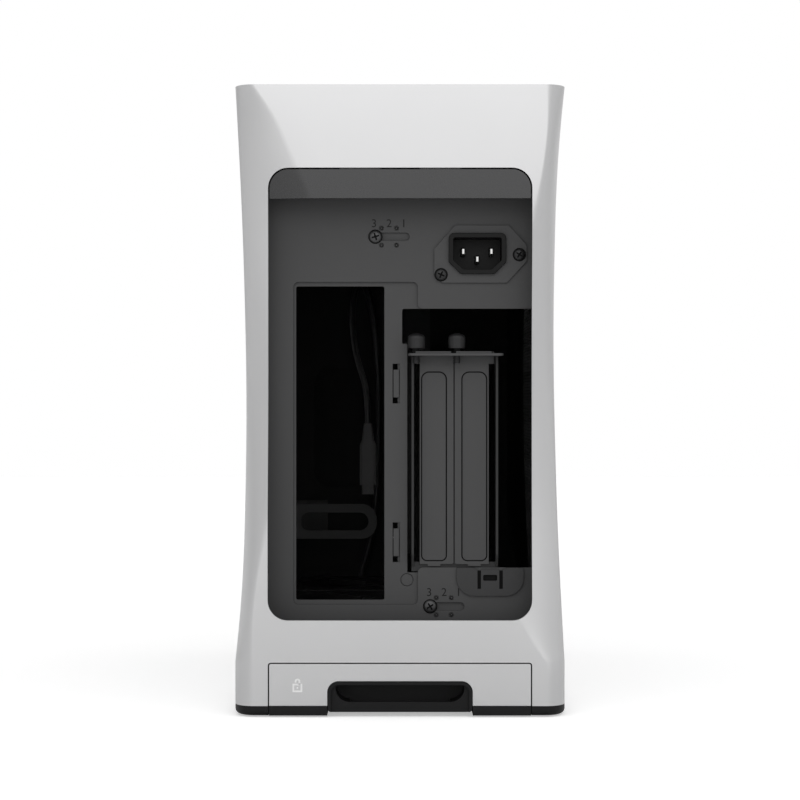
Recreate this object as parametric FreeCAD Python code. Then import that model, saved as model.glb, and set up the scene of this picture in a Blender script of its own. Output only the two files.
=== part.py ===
import FreeCAD, Part
import math
import os
from FreeCAD import Vector

# Overall size and common clearances, in millimetres; the rear faces -Y and the table is Z = 0
WIDTH = 165.0
DEPTH = 366.0
SHEET = 1.2
RUN_GAP = 0.3
SEAM = 0.6
FIT = 0.1
PASS = 1.0
ROUND_END = 0.499

# Outer shell: straight band below, waisted walls above
SHELL_WALL = 2.5
SHELL_FOOT = 5.6
BAND_TOP = 26.8
WAIST_IN = 4.8
CREASE_START = 10.0
CREASE_RATE = 0.19
ARC_PULL = 0.5523
# Corner sweep: share of the height, reach across the end face, reach along the side
CORNER_LAW = (
    (0.00, 10.0, 15.0),
    (0.06, 8.5, 30.0),
    (0.12, 9.0, 40.0),
    (0.25, 15.0, 37.0),
    (0.38, 24.0, 31.0),
    (0.50, 32.0, 25.0),
    (0.62, 38.0, 18.0),
    (0.75, 40.0, 14.0),
    (0.88, 27.5, 12.0),
    (0.94, 20.5, 12.5),
    (1.00, 10.0, 15.0),
)
RIM_RISE = 41.3
OPENING_SIDE = 16.8
OPENING_RISE = 10.7
OPENING_SILL = 22.8
OPENING_R = 10.0
OPENING_CUT = 20.0
NOTCH_R = 1.5
# Perforated side fields, let in by the share of metal that the perforation takes away
VENT_END = 55.9
VENT_RISE = 23.6
VENT_DROP = 26.0
VENT_OPEN = 0.23
VENT_STEPS = 8

# Trim strip in the top of the rear opening
TRIM_GAP = 0.7
TRIM_HEIGHT = 14.5
TRIM_RECESS = 0.6
TRIM_THICK = 2.0
TRIM_TAB_W = 20.0
TRIM_TAB_UP = 8.0

# Top ledge, top panel and its filter
LEDGE_DROP = 14.5
LEDGE_THICK = 2.5
LEDGE_WIDE = 16.0
PANEL_TOP_DROP = 2.5
PANEL_THICK = 3.0
SLOT_PITCH = 11.0
SLOT_WIDE = 4.6
SLOT_EDGE = 8.0
STUD_IN = 69.5
STUD_COLLAR_R = 4.0
STUD_PIN_R = 2.5
STUD_PIN_LONG = 3.5
FILTER_THICK = 1.0

# Black base, feet and floor
BASE_LOW = 0.8
BASE_EDGE_R = 2.5
FOOT_R = 5.5
FOOT_SINK = 1.2
FOOT_IN = 25.0
FLOOR_Z = 24.0
FLOOR_SIDE = 2.0
RUNNER_TOP = 2.0
RUNNER_IN = 5.3
RAIL_SKIN = 2.6
RAIL_POCKETS = 5
RAIL_END = 30.0
BAY_FLOOR = 3.0
BAY_SIDE = 4.8

# Filter tray
FASCIA_SIDE = 0.7
FASCIA_TOP = 26.5
FASCIA_THICK = 2.5
FASCIA_R = 1.0
FASCIA_BACK_DROP = 2.0
TRAY_SHORT = 51.0
TRAY_WALL = 2.4
TRAY_TOP = 9.0
TRAY_LOW = 0.9
TRAY_RIBS = 3
TRAY_RIB_WIDE = 3.0
MESH_THICK = 0.8
MESH_DROP = 3.0
HANDLE_HALF = 36.0
HANDLE_TOP = 17.8
HANDLE_R = 5.5
HANDLE_DEEP = 20.0
HANDLE_LIP = 2.4
HANDLE_SKIN = 2.0
HANDLE_RIM = 1.5
HANDLE_SET = 2.0
SCOOP_LOW = 7.4
SCOOP_TOP = 15.6
SCOOP_HALF = 32.0
SCOOP_R = 7.0

# Chassis walls
SIDE_ROOM = 3.2
REAR_RECESS = 22.0
REAR_FLANGE = 11.0
FRONT_RECESS = 18.0
FRONT_SIDE = 5.0
HEAD_ROOM = 45.1
CUT_EDGE = 3.0
CUT_STEP_X = 9.0
CUT_STEP_RISE = 18.6
CUT_STEP_DROP = 13.5
CUT_R = 2.5
FRONT_WINDOW_X = 33.5
FRONT_WINDOW_HALF = 20.0
FRONT_WINDOW_EDGE = 12.9

# Spine and its three positions
SPINE_TRAVEL = 15.2
SPINE_LIFT = 1.3
SPINE_SIDE = 1.3
SPINE_HEAD = 9.1
SPINE_FOOT_DROP = 7.4
SPINE_FOOT_OUT = 18.6
SPINE_EAR = 8.0
SPINE_EAR_OUT = 20.5
SPINE_EAR_DROP = 6.5
SPINE_TOP_RIGHT = 1.1
SPINE_WING = 6.0
SPINE_WING_RISE = 1.2
SPINE_NECK_RISE = 4.0
SPINE_CAGE_GAP = 2.1
SPINE_FLANGE = 18.8
IO_LEFT = -52.4
IO_WIDE = 44.5
IO_RISE = 6.4
IO_OVER_HOLES = 0.62
IO_R = 1.0
IO_MARGIN_X = 1.3
IO_MARGIN_Z = 2.2
POSITION_R = 1.75
POSITION_HEAD_R = 3.1
POSITION_HEAD_H = 1.6
UPPER_SCREW_X = -12.4
UPPER_SCREW_DROP = 22.3
LOWER_SCREW_OUT = 6.2
LOWER_SCREW_DROP = 19.6
FRONT_SCREW_X = 14.0
FRONT_SCREW_RISE = 38.5
FRONT_SCREW_DROP = 36.0
DIMPLE_R = 1.25
DIMPLE_CORE_R = 0.8
DIMPLE_DOME_R = 0.75
DIMPLE_DEEP = 0.8
DIMPLE_PROUD = 0.45
DIMPLE_RISE = 4.3
DIMPLE_SHARES = (0.2, 0.7)
LANCE_X = -1.9
LANCE_HALF = 1.8
LANCE_TALL = 20.0
LANCE_END = 3.0
LANCE_SLIT = 0.4
LANCE_RISE = 11.0
LANCE_DROP = 16.1
RIVET_X = 3.5
RIVET_DROP = 4.3
RIVET_R = 2.9
RIVET_PROUD = 0.2
RIVET_GROOVE = 0.4
RIVET_GROOVE_DEEP = 0.6
PASS_Y = (60.0, 100.0)
PASS_RISE = (38.5, 108.5)
PASS_WIDE = 30.0
PASS_TALL = 50.0

# Board standoffs on the spine
BOARD_HOLE_TALL = 157.48
BOARD_HOLE_SHORT = 134.62
BOARD_HOLE_DEEP = 154.94
BOARD_HOLE_RISE = 0.4
BOARD_HOLE_IN = 6.3
STANDOFF_LONG = 6.3
STANDOFF_FLAT = 5.5
STANDOFF_BORE_R = 1.55
STANDOFF_BLIND = 2.0

# Expansion slot cage
SLOT_STEP = 20.32
COVER_FIRST_X = 17.15
COVER_HALF = 9.9
COVER_THICK = 1.0
COVER_RISE = 1.6
COVER_R = 1.0
COVER_TRIM = 2.6
COVER_TRIM_DROP = 6.2
TAB_TRIM = 1.0
CAGE_TALL = 108.8
CAGE_DROP = 2.0
CAGE_PLAY_LEFT = 0.25
CAGE_PLAY_RIGHT = 0.83
CAGE_DEEP = 15.0
CAGE_FIN = 5.0
CAGE_FIN_RISE = 6.0
CAGE_FOOT_RISE = 9.0
CAGE_FOOT_DROP = 5.0
LEDGE_OUT = 12.5
LEDGE_OVER_LEFT = 1.6
LEDGE_OVER_RIGHT = 2.4
EMBOSS_HALF = 6.55
EMBOSS_EDGE = 1.5
EMBOSS_DROP = 10.0
EMBOSS_DEEP = 0.8
EMBOSS_DRAFT = 0.6
EMBOSS_LOW_R = 3.0
EMBOSS_TOP_R = 4.0
THUMB_OFF = 8.95
THUMB_IN = 6.75
THUMB_R = 4.3
THUMB_H = 9.4
THUMB_NECK = 1.6
THUMB_NECK_R = 2.4
THUMB_CROWN_R = 3.1
THUMB_BEVEL = 0.6
THUMB_DOME = 1.8
THUMB_SHANK_R = 1.75
THUMB_SHANK_LONG = 6.0

# Mains inlet
INLET_LEFT = 24.5
INLET_WIDE = 29.0
INLET_TALL = 20.7
INLET_DROP = 20.5
INLET_CHAMFER = 6.0
INLET_RIM = 2.4
INLET_PROUD = 2.0
INLET_DEEP = 24.0
INLET_CAVITY = 15.0
INLET_R = 1.0
INLET_RIM_R = 1.5
INLET_TOP_R = 3.0
BLADE_SPREAD = 7.1
BLADE_RISE = 11.5
EARTH_RISE = 7.6
BLADE_THICK = 2.0
BLADE_TALL = 4.0
BLADE_ROOT = 4.0
BLADE_FIT = 0.05
INLET_SCREW_LEFT = (3.8, -0.3)
INLET_SCREW_RIGHT = (6.6, 9.8)
INLET_SCREW_R = 2.9
PLATE_LEFT = 7.3
PLATE_RIGHT = 10.4
PLATE_LOW = 4.4
PLATE_TOP = 3.9
# Trimmed corners of the inlet plate, across and up, from the lower left round
PLATE_TRIMS = ((4.0, 4.0), (10.0, 11.0), (9.0, 10.0), (10.5, 12.0))

# Clip below the slot cage
CLIP_LEFT = 28.5
CLIP_WIDE = 33.8
CLIP_TALL = 14.3
CLIP_THICK = 1.4
CLIP_ROUND = 9.0
CLIP_TONGUE_HALF = 5.5
CLIP_SLIT = 1.7
CLIP_SLIT_RISE = 3.6
CLIP_WINDOW = (7.0, 2.9)
CLIP_WINDOW_RISE = 7.7
CLIP_DIP = 0.7
CLIP_DIP_HALF = 7.8

# Fans
FAN_SIZE = 120.0
FAN_TALL = 25.0
FAN_BORE_R = 58.0
FAN_CORNER_R = 6.0
FAN_SKIN = 1.6
FAN_HOLE_STEP = 105.0
FAN_HOLE_R = 2.2
FAN_FLANGE = 3.8
FAN_Y = 62.0
FAN_HUB_R = 21.0
FAN_HUB_TALL = 17.0
FAN_TIP_R = 56.5
FAN_BLADES = 9
FAN_BLADE_THICK = 1.4
FAN_CUP_TALL = 3.4
FAN_CUP_BACK = 0.4
FAN_STRUT = 4.0
FAN_SHAFT_R = 1.5
# Fan blade at its root and at its tip: pitch in degrees, chord, sweep
FAN_ROOT = (48.0, 15.0, 0.0)
FAN_TIP = (32.0, 34.0, 14.0)

# Brackets
PSU_DROP = 27.0
PSU_HOLE_X = 51.5
PSU_HOLE_Y = 113.0
PSU_HOLE_R = 1.9
PSU_SIDE = 3.2
PSU_RIGHT = -8.0
PSU_LONG = 127.0
PSU_END = 5.0
PSU_WINDOW_X = 5.0
PSU_WINDOW_Y = 9.0
BAR_REACH = 65.0
BAR_RISE = 48.8
BAR_TALL = 21.0
BAR_RIGHT = -13.8
BAR_SIDE = 1.0
BAR_R = 9.4
BAR_EDGE = 5.2
BAR_SLOT_START = 6.6

# Front connections
PORT_Z = 15.2
PORT_RISE = 5.8
BOARD_THICK = 1.6
BOARD_SIDE = 4.2
BOARD_R = 1.5
BUTTON_X = -46.0
BUTTON_R = 6.0
BUTTON_LONG = 9.0
BUTTON_SKIRT = 1.5
BUTTON_DISH_R = 40.0
BUTTON_DISH = 0.35
BUTTON_TRAVEL = 1.5
SWITCH_HALF = 3.2
SWITCH_LONG = 5.0
SWITCH_TIP_R = 1.6
SWITCH_TIP = 1.0
USB_C_X = -16.0
USB_A_X = (8.0, 28.0)
# Sockets: half width, half height, corner radius, tongue
USB_A = (6.6, 2.9, 0.5, 1.8)
USB_C = (4.5, 1.65, 1.6, 0.7)
SOCKET_SINK = 0.5
SOCKET_DEEP = 14.0
SOCKET_BACK = 2.0
SOCKET_WALL = 0.4
SOCKET_FOOT = 6.0
JACK_X = 46.0
JACK_BORE_R = 1.75
JACK_HALF = 3.2
JACK_SINK = 0.3
JACK_LONG = 14.0
JACK_BARREL = 4.0

# Front lead: straight runs between these points, rounded where they turn
LEAD_D = 3.5
# Its foot lies a little in front of the middle between the front fan and the front wall
LEAD_FOOT_ON = 1.5
# Across the case, distance behind the foot, height
LEAD_COURSE = (
    (-27.0, 0.0, 17.0),
    (-27.0, 0.0, 34.0),
    (-23.5, -0.2, 53.0),
    (-16.5, 0.0, 76.0),
    (-13.4, -0.4, 114.0),
    (-13.0, 0.0, 160.0),
    (-15.0, 2.0, 200.0),
    (-20.0, 14.0, 226.0),
    (-26.0, 38.0, 229.0),
    (-29.0, 57.0, 209.0),
    (-26.5, 65.0, 184.0),
    (-19.0, 66.0, 163.0),
    (-19.0, 66.0, 143.5),
)
BEND_SHARE = 0.45
HEADER_HALF_X = 5.0
HEADER_HALF_Y = 3.0
PLUG_WIDE = 9.6
PLUG_DEEP = 6.4
PLUG_LONG = 36.5
PLUG_NECK = 12.8
PLUG_TIP_LONG = 5.4
PLUG_SLOT = 2.2
GROMMET_R = 6.5
GROMMET_HOLE_R = 5.0
GROMMET_LIP = 1.2
GROMMET_ROOM = 0.6

# Places that follow from the sizes above, from the floor up and from the rear to the front
HALF_W = WIDTH / 2
HALF_D = DEPTH / 2
REAR_Y = -HALF_D + REAR_RECESS
REAR_BACK = REAR_Y + SHEET
SPINE_REAR = REAR_BACK + RUN_GAP
FRONT_Y = HALF_D - FRONT_RECESS
REAR_HALF = HALF_W - WAIST_IN - SHELL_WALL - SIDE_ROOM
FRONT_HALF = REAR_HALF - FRONT_SIDE
FLOOR_HALF = HALF_W - SHELL_WALL - FLOOR_SIDE
OPENING_HALF = HALF_W - OPENING_SIDE
FASCIA_HALF = OPENING_HALF - FASCIA_SIDE
NOTCH_HALF = FASCIA_HALF + SEAM
NOTCH_TOP = FASCIA_TOP + SEAM
CHANNEL_HALF = FASCIA_HALF + RUN_GAP
BAY_HALF = FASCIA_HALF - BAY_SIDE
TRAY_END = HALF_D - TRAY_SHORT
BAY_REAR = TRAY_END + RUN_GAP + RAIL_SKIN
FLOOR_TOP = FLOOR_Z + SHEET
OPENING_LOW = FLOOR_TOP + OPENING_SILL
SPINE_LOW = FLOOR_TOP + FAN_TALL + SPINE_LIFT
IO_LOW = FLOOR_TOP + FAN_TALL + IO_RISE
IO_RIGHT = IO_LEFT + IO_WIDE
IO_TOP = IO_LOW + BOARD_HOLE_TALL + IO_OVER_HOLES
CUT_LEFT = IO_LEFT - IO_MARGIN_X
CUT_RIGHT = REAR_HALF - CUT_EDGE
CUT_LOW = IO_LOW - IO_MARGIN_Z
CUT_TOP = IO_TOP + IO_MARGIN_Z
CUT_STEP_LOW = CUT_LOW + CUT_STEP_RISE
CUT_STEP_TOP = CUT_TOP - CUT_STEP_DROP
CHASSIS_TOP = CUT_TOP + HEAD_ROOM
OPENING_TOP = CHASSIS_TOP + OPENING_RISE
HEIGHT = OPENING_TOP + RIM_RISE
LEDGE_TOP = HEIGHT - LEDGE_DROP
PANEL_TOP = HEIGHT - PANEL_TOP_DROP
PANEL_LOW = PANEL_TOP - PANEL_THICK
LEDGE_HALF_X = HALF_W - SHELL_WALL - LEDGE_WIDE
LEDGE_HALF_Y = HALF_D - SHELL_WALL - LEDGE_WIDE
SLOT_HALF = LEDGE_HALF_X - SLOT_EDGE
UPPER_SCREW = (UPPER_SCREW_X, CHASSIS_TOP - UPPER_SCREW_DROP)
LOWER_SCREW = (CUT_STEP_X + LOWER_SCREW_OUT, CUT_STEP_LOW - LOWER_SCREW_DROP)
SPINE_LEFT = -(REAR_HALF - SHEET - SPINE_SIDE)
SPINE_TOP = CUT_TOP + SPINE_HEAD
SPINE_FOOT_LOW = LOWER_SCREW[1] - SPINE_FOOT_DROP
SPINE_FOOT_RIGHT = LOWER_SCREW[0] + SPINE_FOOT_OUT
FRONT_SCREW_Z = (SPINE_LOW + FRONT_SCREW_RISE, SPINE_TOP - FRONT_SCREW_DROP)
BOARD_HOLE_LOW = IO_LOW + BOARD_HOLE_RISE
BOARD_HOLE_Y = SPINE_REAR + SHEET + BOARD_HOLE_IN
CAGE_FACE = REAR_BACK + FIT
CAGE_LOW = CUT_STEP_LOW - CAGE_DROP
CAGE_LEFT = COVER_FIRST_X - COVER_HALF - SHEET - CAGE_PLAY_LEFT
CAGE_RIGHT = COVER_FIRST_X + SLOT_STEP + COVER_HALF + SHEET + CAGE_PLAY_RIGHT
COVER_LOW = CUT_STEP_LOW + COVER_RISE
COVER_FRONT = CAGE_FACE - COVER_THICK
TAB_TOP = CUT_STEP_LOW + CAGE_TALL
LEDGE_Z = TAB_TOP - COVER_THICK
EMBOSS_LOW = COVER_LOW + EMBOSS_EDGE
EMBOSS_TOP = TAB_TOP - EMBOSS_DROP
THUMB_Y = CAGE_FACE - THUMB_IN
INLET_RIGHT = INLET_LEFT + INLET_WIDE
INLET_TOP = CHASSIS_TOP - INLET_DROP
INLET_LOW = INLET_TOP - INLET_TALL
INLET_FACE = REAR_Y - SHEET
INLET_SCREWS = ((INLET_LEFT - INLET_SCREW_LEFT[0], INLET_LOW + INLET_SCREW_LEFT[1]),
                (INLET_RIGHT + INLET_SCREW_RIGHT[0], INLET_LOW + INLET_SCREW_RIGHT[1]))
CLIP_RIGHT = CLIP_LEFT + CLIP_WIDE
CLIP_LOW = CUT_STEP_LOW - CLIP_TALL
PSU_Z = CHASSIS_TOP - PSU_DROP
PSU_LEFT = -(FRONT_HALF - SHEET - PSU_SIDE)
PSU_FRONT = FRONT_Y - PSU_END
PSU_REAR = PSU_FRONT - PSU_LONG
BAR_Y = FRONT_Y - BAR_REACH
BAR_LEFT = -(FRONT_HALF - BAR_SIDE)
BAR_LOW = FLOOR_TOP + BAR_RISE
BAR_TOP = BAR_LOW + BAR_TALL
BOARD_Z = PORT_Z - PORT_RISE
BOARD_TOP = BOARD_Z + BOARD_THICK
BOARD_HALF = BAY_HALF - BOARD_SIDE
LEAD_FOOT_Y = (FAN_Y + FAN_SIZE / 2 + FRONT_Y) / 2 + LEAD_FOOT_ON
LEAD_ROUTE = [(x, LEAD_FOOT_Y - back, z) for x, back, z in LEAD_COURSE]


def box(x0, x1, y0, y1, z0, z1):
    """Block between two corners."""
    return Part.makeBox(x1 - x0, y1 - y0, z1 - z0, Vector(x0, y0, z0))


def rod(start, axis, radius, length):
    """Round bar from a start point along an axis."""
    return Part.makeCylinder(radius, length, Vector(*start), Vector(*axis))


def rounded_wire(points, radii, place):
    """Closed outline through flat points, each corner rounded by its own radius."""
    corners = []
    count = len(points)
    for index, (u, v) in enumerate(points):
        here = Vector(u, v, 0)
        before = Vector(*points[index - 1], 0) - here
        after = Vector(*points[(index + 1) % count], 0) - here
        before.normalize()
        after.normalize()
        half_angle = before.getAngle(after) / 2
        radius = radii[index]
        reach = radius / math.tan(half_angle)
        inward = before + after
        inward.normalize()
        middle = here + inward * (radius / math.sin(half_angle) - radius)
        corners.append((here + before * reach, middle, here + after * reach, radius))
    edges = []
    for index, (start, middle, end, radius) in enumerate(corners):
        last_end = corners[index - 1][2]
        if (start - last_end).Length > 1e-6:
            edges.append(Part.LineSegment(place(last_end), place(start)).toShape())
        if radius > 0:
            edges.append(Part.Arc(place(start), place(middle), place(end)).toShape())
    return Part.Wire(edges)


def plate_xz(points, radii, y0, thick):
    """Upright plate across the case, from y0 towards the front."""
    wire = rounded_wire(points, radii, lambda p: Vector(p.x, y0, p.y))
    return Part.Face(wire).extrude(Vector(0, thick, 0))


def plate_xy(points, radii, z0, thick):
    """Level plate from z0 upwards."""
    wire = rounded_wire(points, radii, lambda p: Vector(p.x, p.y, z0))
    return Part.Face(wire).extrude(Vector(0, 0, thick))


def plate_yz(points, radii, x0, thick):
    """Upright plate along the case, from x0 towards +X."""
    wire = rounded_wire(points, radii, lambda p: Vector(x0, p.x, p.y))
    return Part.Face(wire).extrude(Vector(thick, 0, 0))


def rect(u0, u1, v0, v1):
    """Corners of a rectangle, counter-clockwise."""
    return [(u0, v0), (u1, v0), (u1, v1), (u0, v1)]


def section_wire(inset, half_w, z, near, far):
    """One level outline of the shell; near and far are the two corner reaches."""
    w = half_w - inset
    d = HALF_D - inset

    def corner(sx, sy, reach):
        across = reach[0] - inset
        along = reach[1] - inset
        crease = CREASE_RATE * max(0.0, reach[0] - CREASE_START)
        on_end = Vector(sx * (w - across), sy * d, z)
        on_side = Vector(sx * w, sy * (d - along), z)
        tip = Vector(sx * w, sy * (d - crease), z)
        pull_end = on_end + (tip - on_end) * ARC_PULL
        pull_side = on_side + (tip - on_side) * ARC_PULL
        return on_end, pull_end, pull_side, on_side

    def sweep(poles):
        curve = Part.BezierCurve()
        curve.setPoles(list(poles))
        return curve.toShape()

    rear_left = corner(-1, -1, near)
    rear_right = corner(1, -1, far)
    front_right = corner(1, 1, near)
    front_left = corner(-1, 1, far)
    edges = [
        Part.LineSegment(rear_left[0], rear_right[0]).toShape(),
        sweep(rear_right),
        Part.LineSegment(rear_right[3], front_right[3]).toShape(),
        sweep(reversed(front_right)),
        Part.LineSegment(front_right[0], front_left[0]).toShape(),
        sweep(front_left),
        Part.LineSegment(front_left[3], rear_left[3]).toShape(),
        sweep(reversed(rear_left)),
    ]
    return Part.Wire(edges)


def band_prism(inset, z0, z1):
    """Straight prism with the outline that the shell has at its band and at its top."""
    reach = CORNER_LAW[0][1:]
    face = Part.Face(section_wire(inset, HALF_W, z0, reach, reach))
    return face.extrude(Vector(0, 0, z1 - z0))


def half_width(share):
    """Half the shell's width at a share of the height between its band and its top."""
    return HALF_W - WAIST_IN * (1 - (2 * share - 1) ** 2)


def shell_form(inset, low, high):
    """Solid inside the shell's outer surface moved in by inset, from low to high."""
    sections = []
    last = len(CORNER_LAW) - 1
    for index, (share, across, along) in enumerate(CORNER_LAW):
        z = BAND_TOP + share * (HEIGHT - BAND_TOP)
        half_w = half_width(share)
        opposite = CORNER_LAW[last - index][1:]
        sections.append(section_wire(inset, half_w, z, (across, along), opposite))
    form = Part.makeLoft(sections, True, False)
    if low < BAND_TOP:
        form = form.fuse(band_prism(inset, low, BAND_TOP))
    if high > HEIGHT:
        form = form.fuse(band_prism(inset, HEIGHT, high))
    return form


def slab(form, low, high):
    """The part of a form between two heights."""
    return form.common(box(-WIDTH, WIDTH, -DEPTH, DEPTH, low, high))


def vent_fields():
    """Shallow cutters for the two perforated sides, curved like the waist."""
    low = BAND_TOP + VENT_RISE
    high = HEIGHT - VENT_DROP
    half_long = HALF_D - VENT_END
    fields = []
    for sign in (-1, 1):
        points = []
        for step in range(VENT_STEPS + 1):
            z = low + (high - low) * step / VENT_STEPS
            half_w = half_width((z - BAND_TOP) / (HEIGHT - BAND_TOP))
            points.append(Vector(sign * (half_w - SHELL_WALL * VENT_OPEN), -half_long, z))
        floor = Part.BSplineCurve()
        floor.interpolate(points)
        outside = sign * (HALF_W + PASS)
        corners = [points[-1], Vector(outside, -half_long, high), Vector(outside, -half_long, low), points[0]]
        edges = [floor.toShape()]
        for start, end in zip(corners, corners[1:]):
            edges.append(Part.LineSegment(start, end).toShape())
        fields.append(Part.Face(Part.Wire(edges)).extrude(Vector(0, 2 * half_long, 0)))
    return fields


def outer_shell():
    """Waisted sleeve, open above and below: rear opening, two notches, perforated sides let in."""
    outside = shell_form(0.0, SHELL_FOOT, HEIGHT)
    inside = shell_form(SHELL_WALL, SHELL_FOOT - PASS, HEIGHT + PASS)
    shell = outside.cut(inside)
    opening = plate_xz(rect(-OPENING_HALF, OPENING_HALF, OPENING_LOW, OPENING_TOP),
                       [OPENING_R] * 4, -HALF_D - PASS, OPENING_CUT + PASS)
    notch_low = SHELL_FOOT - NOTCH_TOP
    notch = rect(-NOTCH_HALF, NOTCH_HALF, notch_low, NOTCH_TOP)
    notch_r = [0, 0, NOTCH_R, NOTCH_R]
    rear_notch = plate_xz(notch, notch_r, -HALF_D - PASS, OPENING_CUT)
    front_notch = plate_xz(notch, notch_r, HALF_D + PASS - OPENING_CUT, OPENING_CUT)
    return shell.cut(Part.makeCompound([opening, rear_notch, front_notch] + vent_fields()))


def rear_lip_trim():
    """Dark strip that follows the shell's surface in the top of the opening."""
    skin = shell_form(TRIM_RECESS, BAND_TOP, HEIGHT).cut(
        shell_form(TRIM_RECESS + TRIM_THICK, BAND_TOP, HEIGHT))
    half = OPENING_HALF - TRIM_GAP
    top = OPENING_TOP - TRIM_GAP
    round_top = OPENING_R - TRIM_GAP
    window = plate_xz(rect(-half, half, top - TRIM_HEIGHT, top),
                      [SEAM, SEAM, round_top, round_top], -HALF_D - PASS, OPENING_CUT)
    strip = skin.common(window)
    tab_y = -HALF_D + SHELL_WALL + RUN_GAP
    for x in (-TRIM_TAB_W, TRIM_TAB_W):
        tab = box(x - TRIM_TAB_W / 2, x + TRIM_TAB_W / 2, tab_y, tab_y + TRIM_THICK,
                  top - TRIM_TAB_UP, top + TRIM_TAB_UP)
        neck = box(x - TRIM_TAB_W / 2, x + TRIM_TAB_W / 2, -HALF_D + TRIM_RECESS + TRIM_THICK / 2,
                   tab_y + TRIM_THICK, top - TRIM_TAB_UP, top - TRIM_TAB_UP / 2)
        strip = strip.fuse(tab).fuse(neck)
    return strip.removeSplitter()


def stud_places():
    """Where the top panel's four studs stand."""
    x = HALF_W - SHELL_WALL - LEDGE_WIDE / 2
    y = HALF_D - STUD_IN
    return [(sx * x, sy * y) for sx in (-1, 1) for sy in (-1, 1)]


def top_frame():
    """Ledge ring inside the top of the shell, with the stud holes."""
    ring = slab(shell_form(SHELL_WALL + RUN_GAP, BAND_TOP, HEIGHT), LEDGE_TOP - LEDGE_THICK, LEDGE_TOP)
    low = LEDGE_TOP - LEDGE_THICK - PASS
    tall = LEDGE_THICK + 2 * PASS
    inside = rect(-LEDGE_HALF_X, LEDGE_HALF_X, -LEDGE_HALF_Y, LEDGE_HALF_Y)
    cutters = [plate_xy(inside, [OPENING_R] * 4, low, tall)]
    for x, y in stud_places():
        cutters.append(rod((x, y, low), (0, 0, 1), STUD_PIN_R + RUN_GAP, tall))
    return ring.cut(Part.makeCompound(cutters))


def panel_slots():
    """Centre lines of the slots in the top panel."""
    each_way = int(LEDGE_HALF_Y // SLOT_PITCH) - 1
    return [index * SLOT_PITCH for index in range(-each_way, each_way + 1)]


def top_panel():
    """Inset slotted plate."""
    panel = slab(shell_form(SHELL_WALL + SEAM, BAND_TOP, HEIGHT), PANEL_LOW, PANEL_TOP)
    slots = []
    for y in panel_slots():
        slots.append(plate_xy(rect(-SLOT_HALF, SLOT_HALF, y - SLOT_WIDE / 2, y + SLOT_WIDE / 2),
                              [SLOT_WIDE * ROUND_END] * 4, PANEL_LOW - PASS, PANEL_THICK + 2 * PASS))
    return panel.cut(Part.makeCompound(slots))


def top_panel_studs():
    """Four turned studs that carry the top panel on the ledge."""
    studs = []
    for x, y in stud_places():
        collar = rod((x, y, LEDGE_TOP), (0, 0, 1), STUD_COLLAR_R, PANEL_LOW - LEDGE_TOP)
        pin = rod((x, y, LEDGE_TOP - STUD_PIN_LONG), (0, 0, 1), STUD_PIN_R, STUD_PIN_LONG)
        studs.append(collar.fuse(pin).removeSplitter())
    return Part.makeCompound(studs)


def top_filter():
    """Fine mesh sheet under the top panel's slots."""
    half_x = SLOT_HALF + SLOT_WIDE / 2
    half_y = panel_slots()[-1] + SLOT_PITCH
    return plate_xy(rect(-half_x, half_x, -half_y, half_y), [SLOT_WIDE] * 4,
                    PANEL_LOW - FILTER_THICK, FILTER_THICK)


def foot_places():
    """Where the four feet stand."""
    x = (CHANNEL_HALF + HALF_W) / 2
    y = HALF_D - FOOT_IN
    return [(sx * x, sy * y) for sx in (-1, 1) for sy in (-1, 1)]


def base_frame():
    """Moulded base: outer flange under the shell, upstand inside it, tray channel and front bay."""
    flange = band_prism(0.0, BASE_LOW, SHELL_FOOT)
    lower = [edge for edge in flange.Edges if abs(edge.BoundBox.ZMax - BASE_LOW) < 1e-6]
    flange = flange.makeFillet(BASE_EDGE_R, lower)
    upstand = band_prism(SHELL_WALL + SEAM, SHELL_FOOT, FLOOR_Z)
    base = flange.fuse(upstand)
    base = base.cut(box(-CHANNEL_HALF, CHANNEL_HALF, -DEPTH, TRAY_END + RUN_GAP, -PASS, FLOOR_Z + PASS))
    base = base.cut(box(-BAY_HALF, BAY_HALF, BAY_REAR, DEPTH, BAY_FLOOR, FLOOR_Z + PASS))
    base = base.fuse(box(-BAY_HALF, BAY_HALF, BAY_REAR, HALF_D - FASCIA_THICK - RUN_GAP, BASE_LOW, BAY_FLOOR))
    for sign in (-1, 1):
        for y in (BAY_REAR + FOOT_R, FRONT_Y + SHEET):
            post = rod((sign * (BOARD_HALF - FOOT_R), y, BAY_FLOOR - PASS), (0, 0, 1),
                       FOOT_R / 2, BOARD_Z - BAY_FLOOR + PASS)
            base = base.fuse(post)
        edge = sorted((sign * CHANNEL_HALF, sign * (CHANNEL_HALF - RUNNER_IN)))
        runner = box(edge[0], edge[1], -HALF_D + 3 * FASCIA_THICK, TRAY_END + RUN_GAP, BASE_LOW, RUNNER_TOP)
        base = base.fuse(runner)
    pocket_span = 2 * (HALF_D - RAIL_END) / RAIL_POCKETS
    rail_in = CHANNEL_HALF + RAIL_SKIN
    rail_out = HALF_W - SHELL_WALL - SEAM - RAIL_SKIN
    pockets = []
    for index in range(RAIL_POCKETS):
        y0 = -HALF_D + RAIL_END + index * pocket_span
        for sign in (-1, 1):
            span = sorted((sign * rail_in, sign * rail_out))
            pockets.append(box(span[0], span[1], y0 + RAIL_SKIN, y0 + pocket_span, SHELL_FOOT, FLOOR_Z + PASS))
    for x, y in foot_places():
        pockets.append(rod((x, y, 0), (0, 0, 1), FOOT_R + RUN_GAP / 2, BASE_LOW + FOOT_SINK))
    return base.cut(Part.makeCompound(pockets)).removeSplitter()


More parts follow.
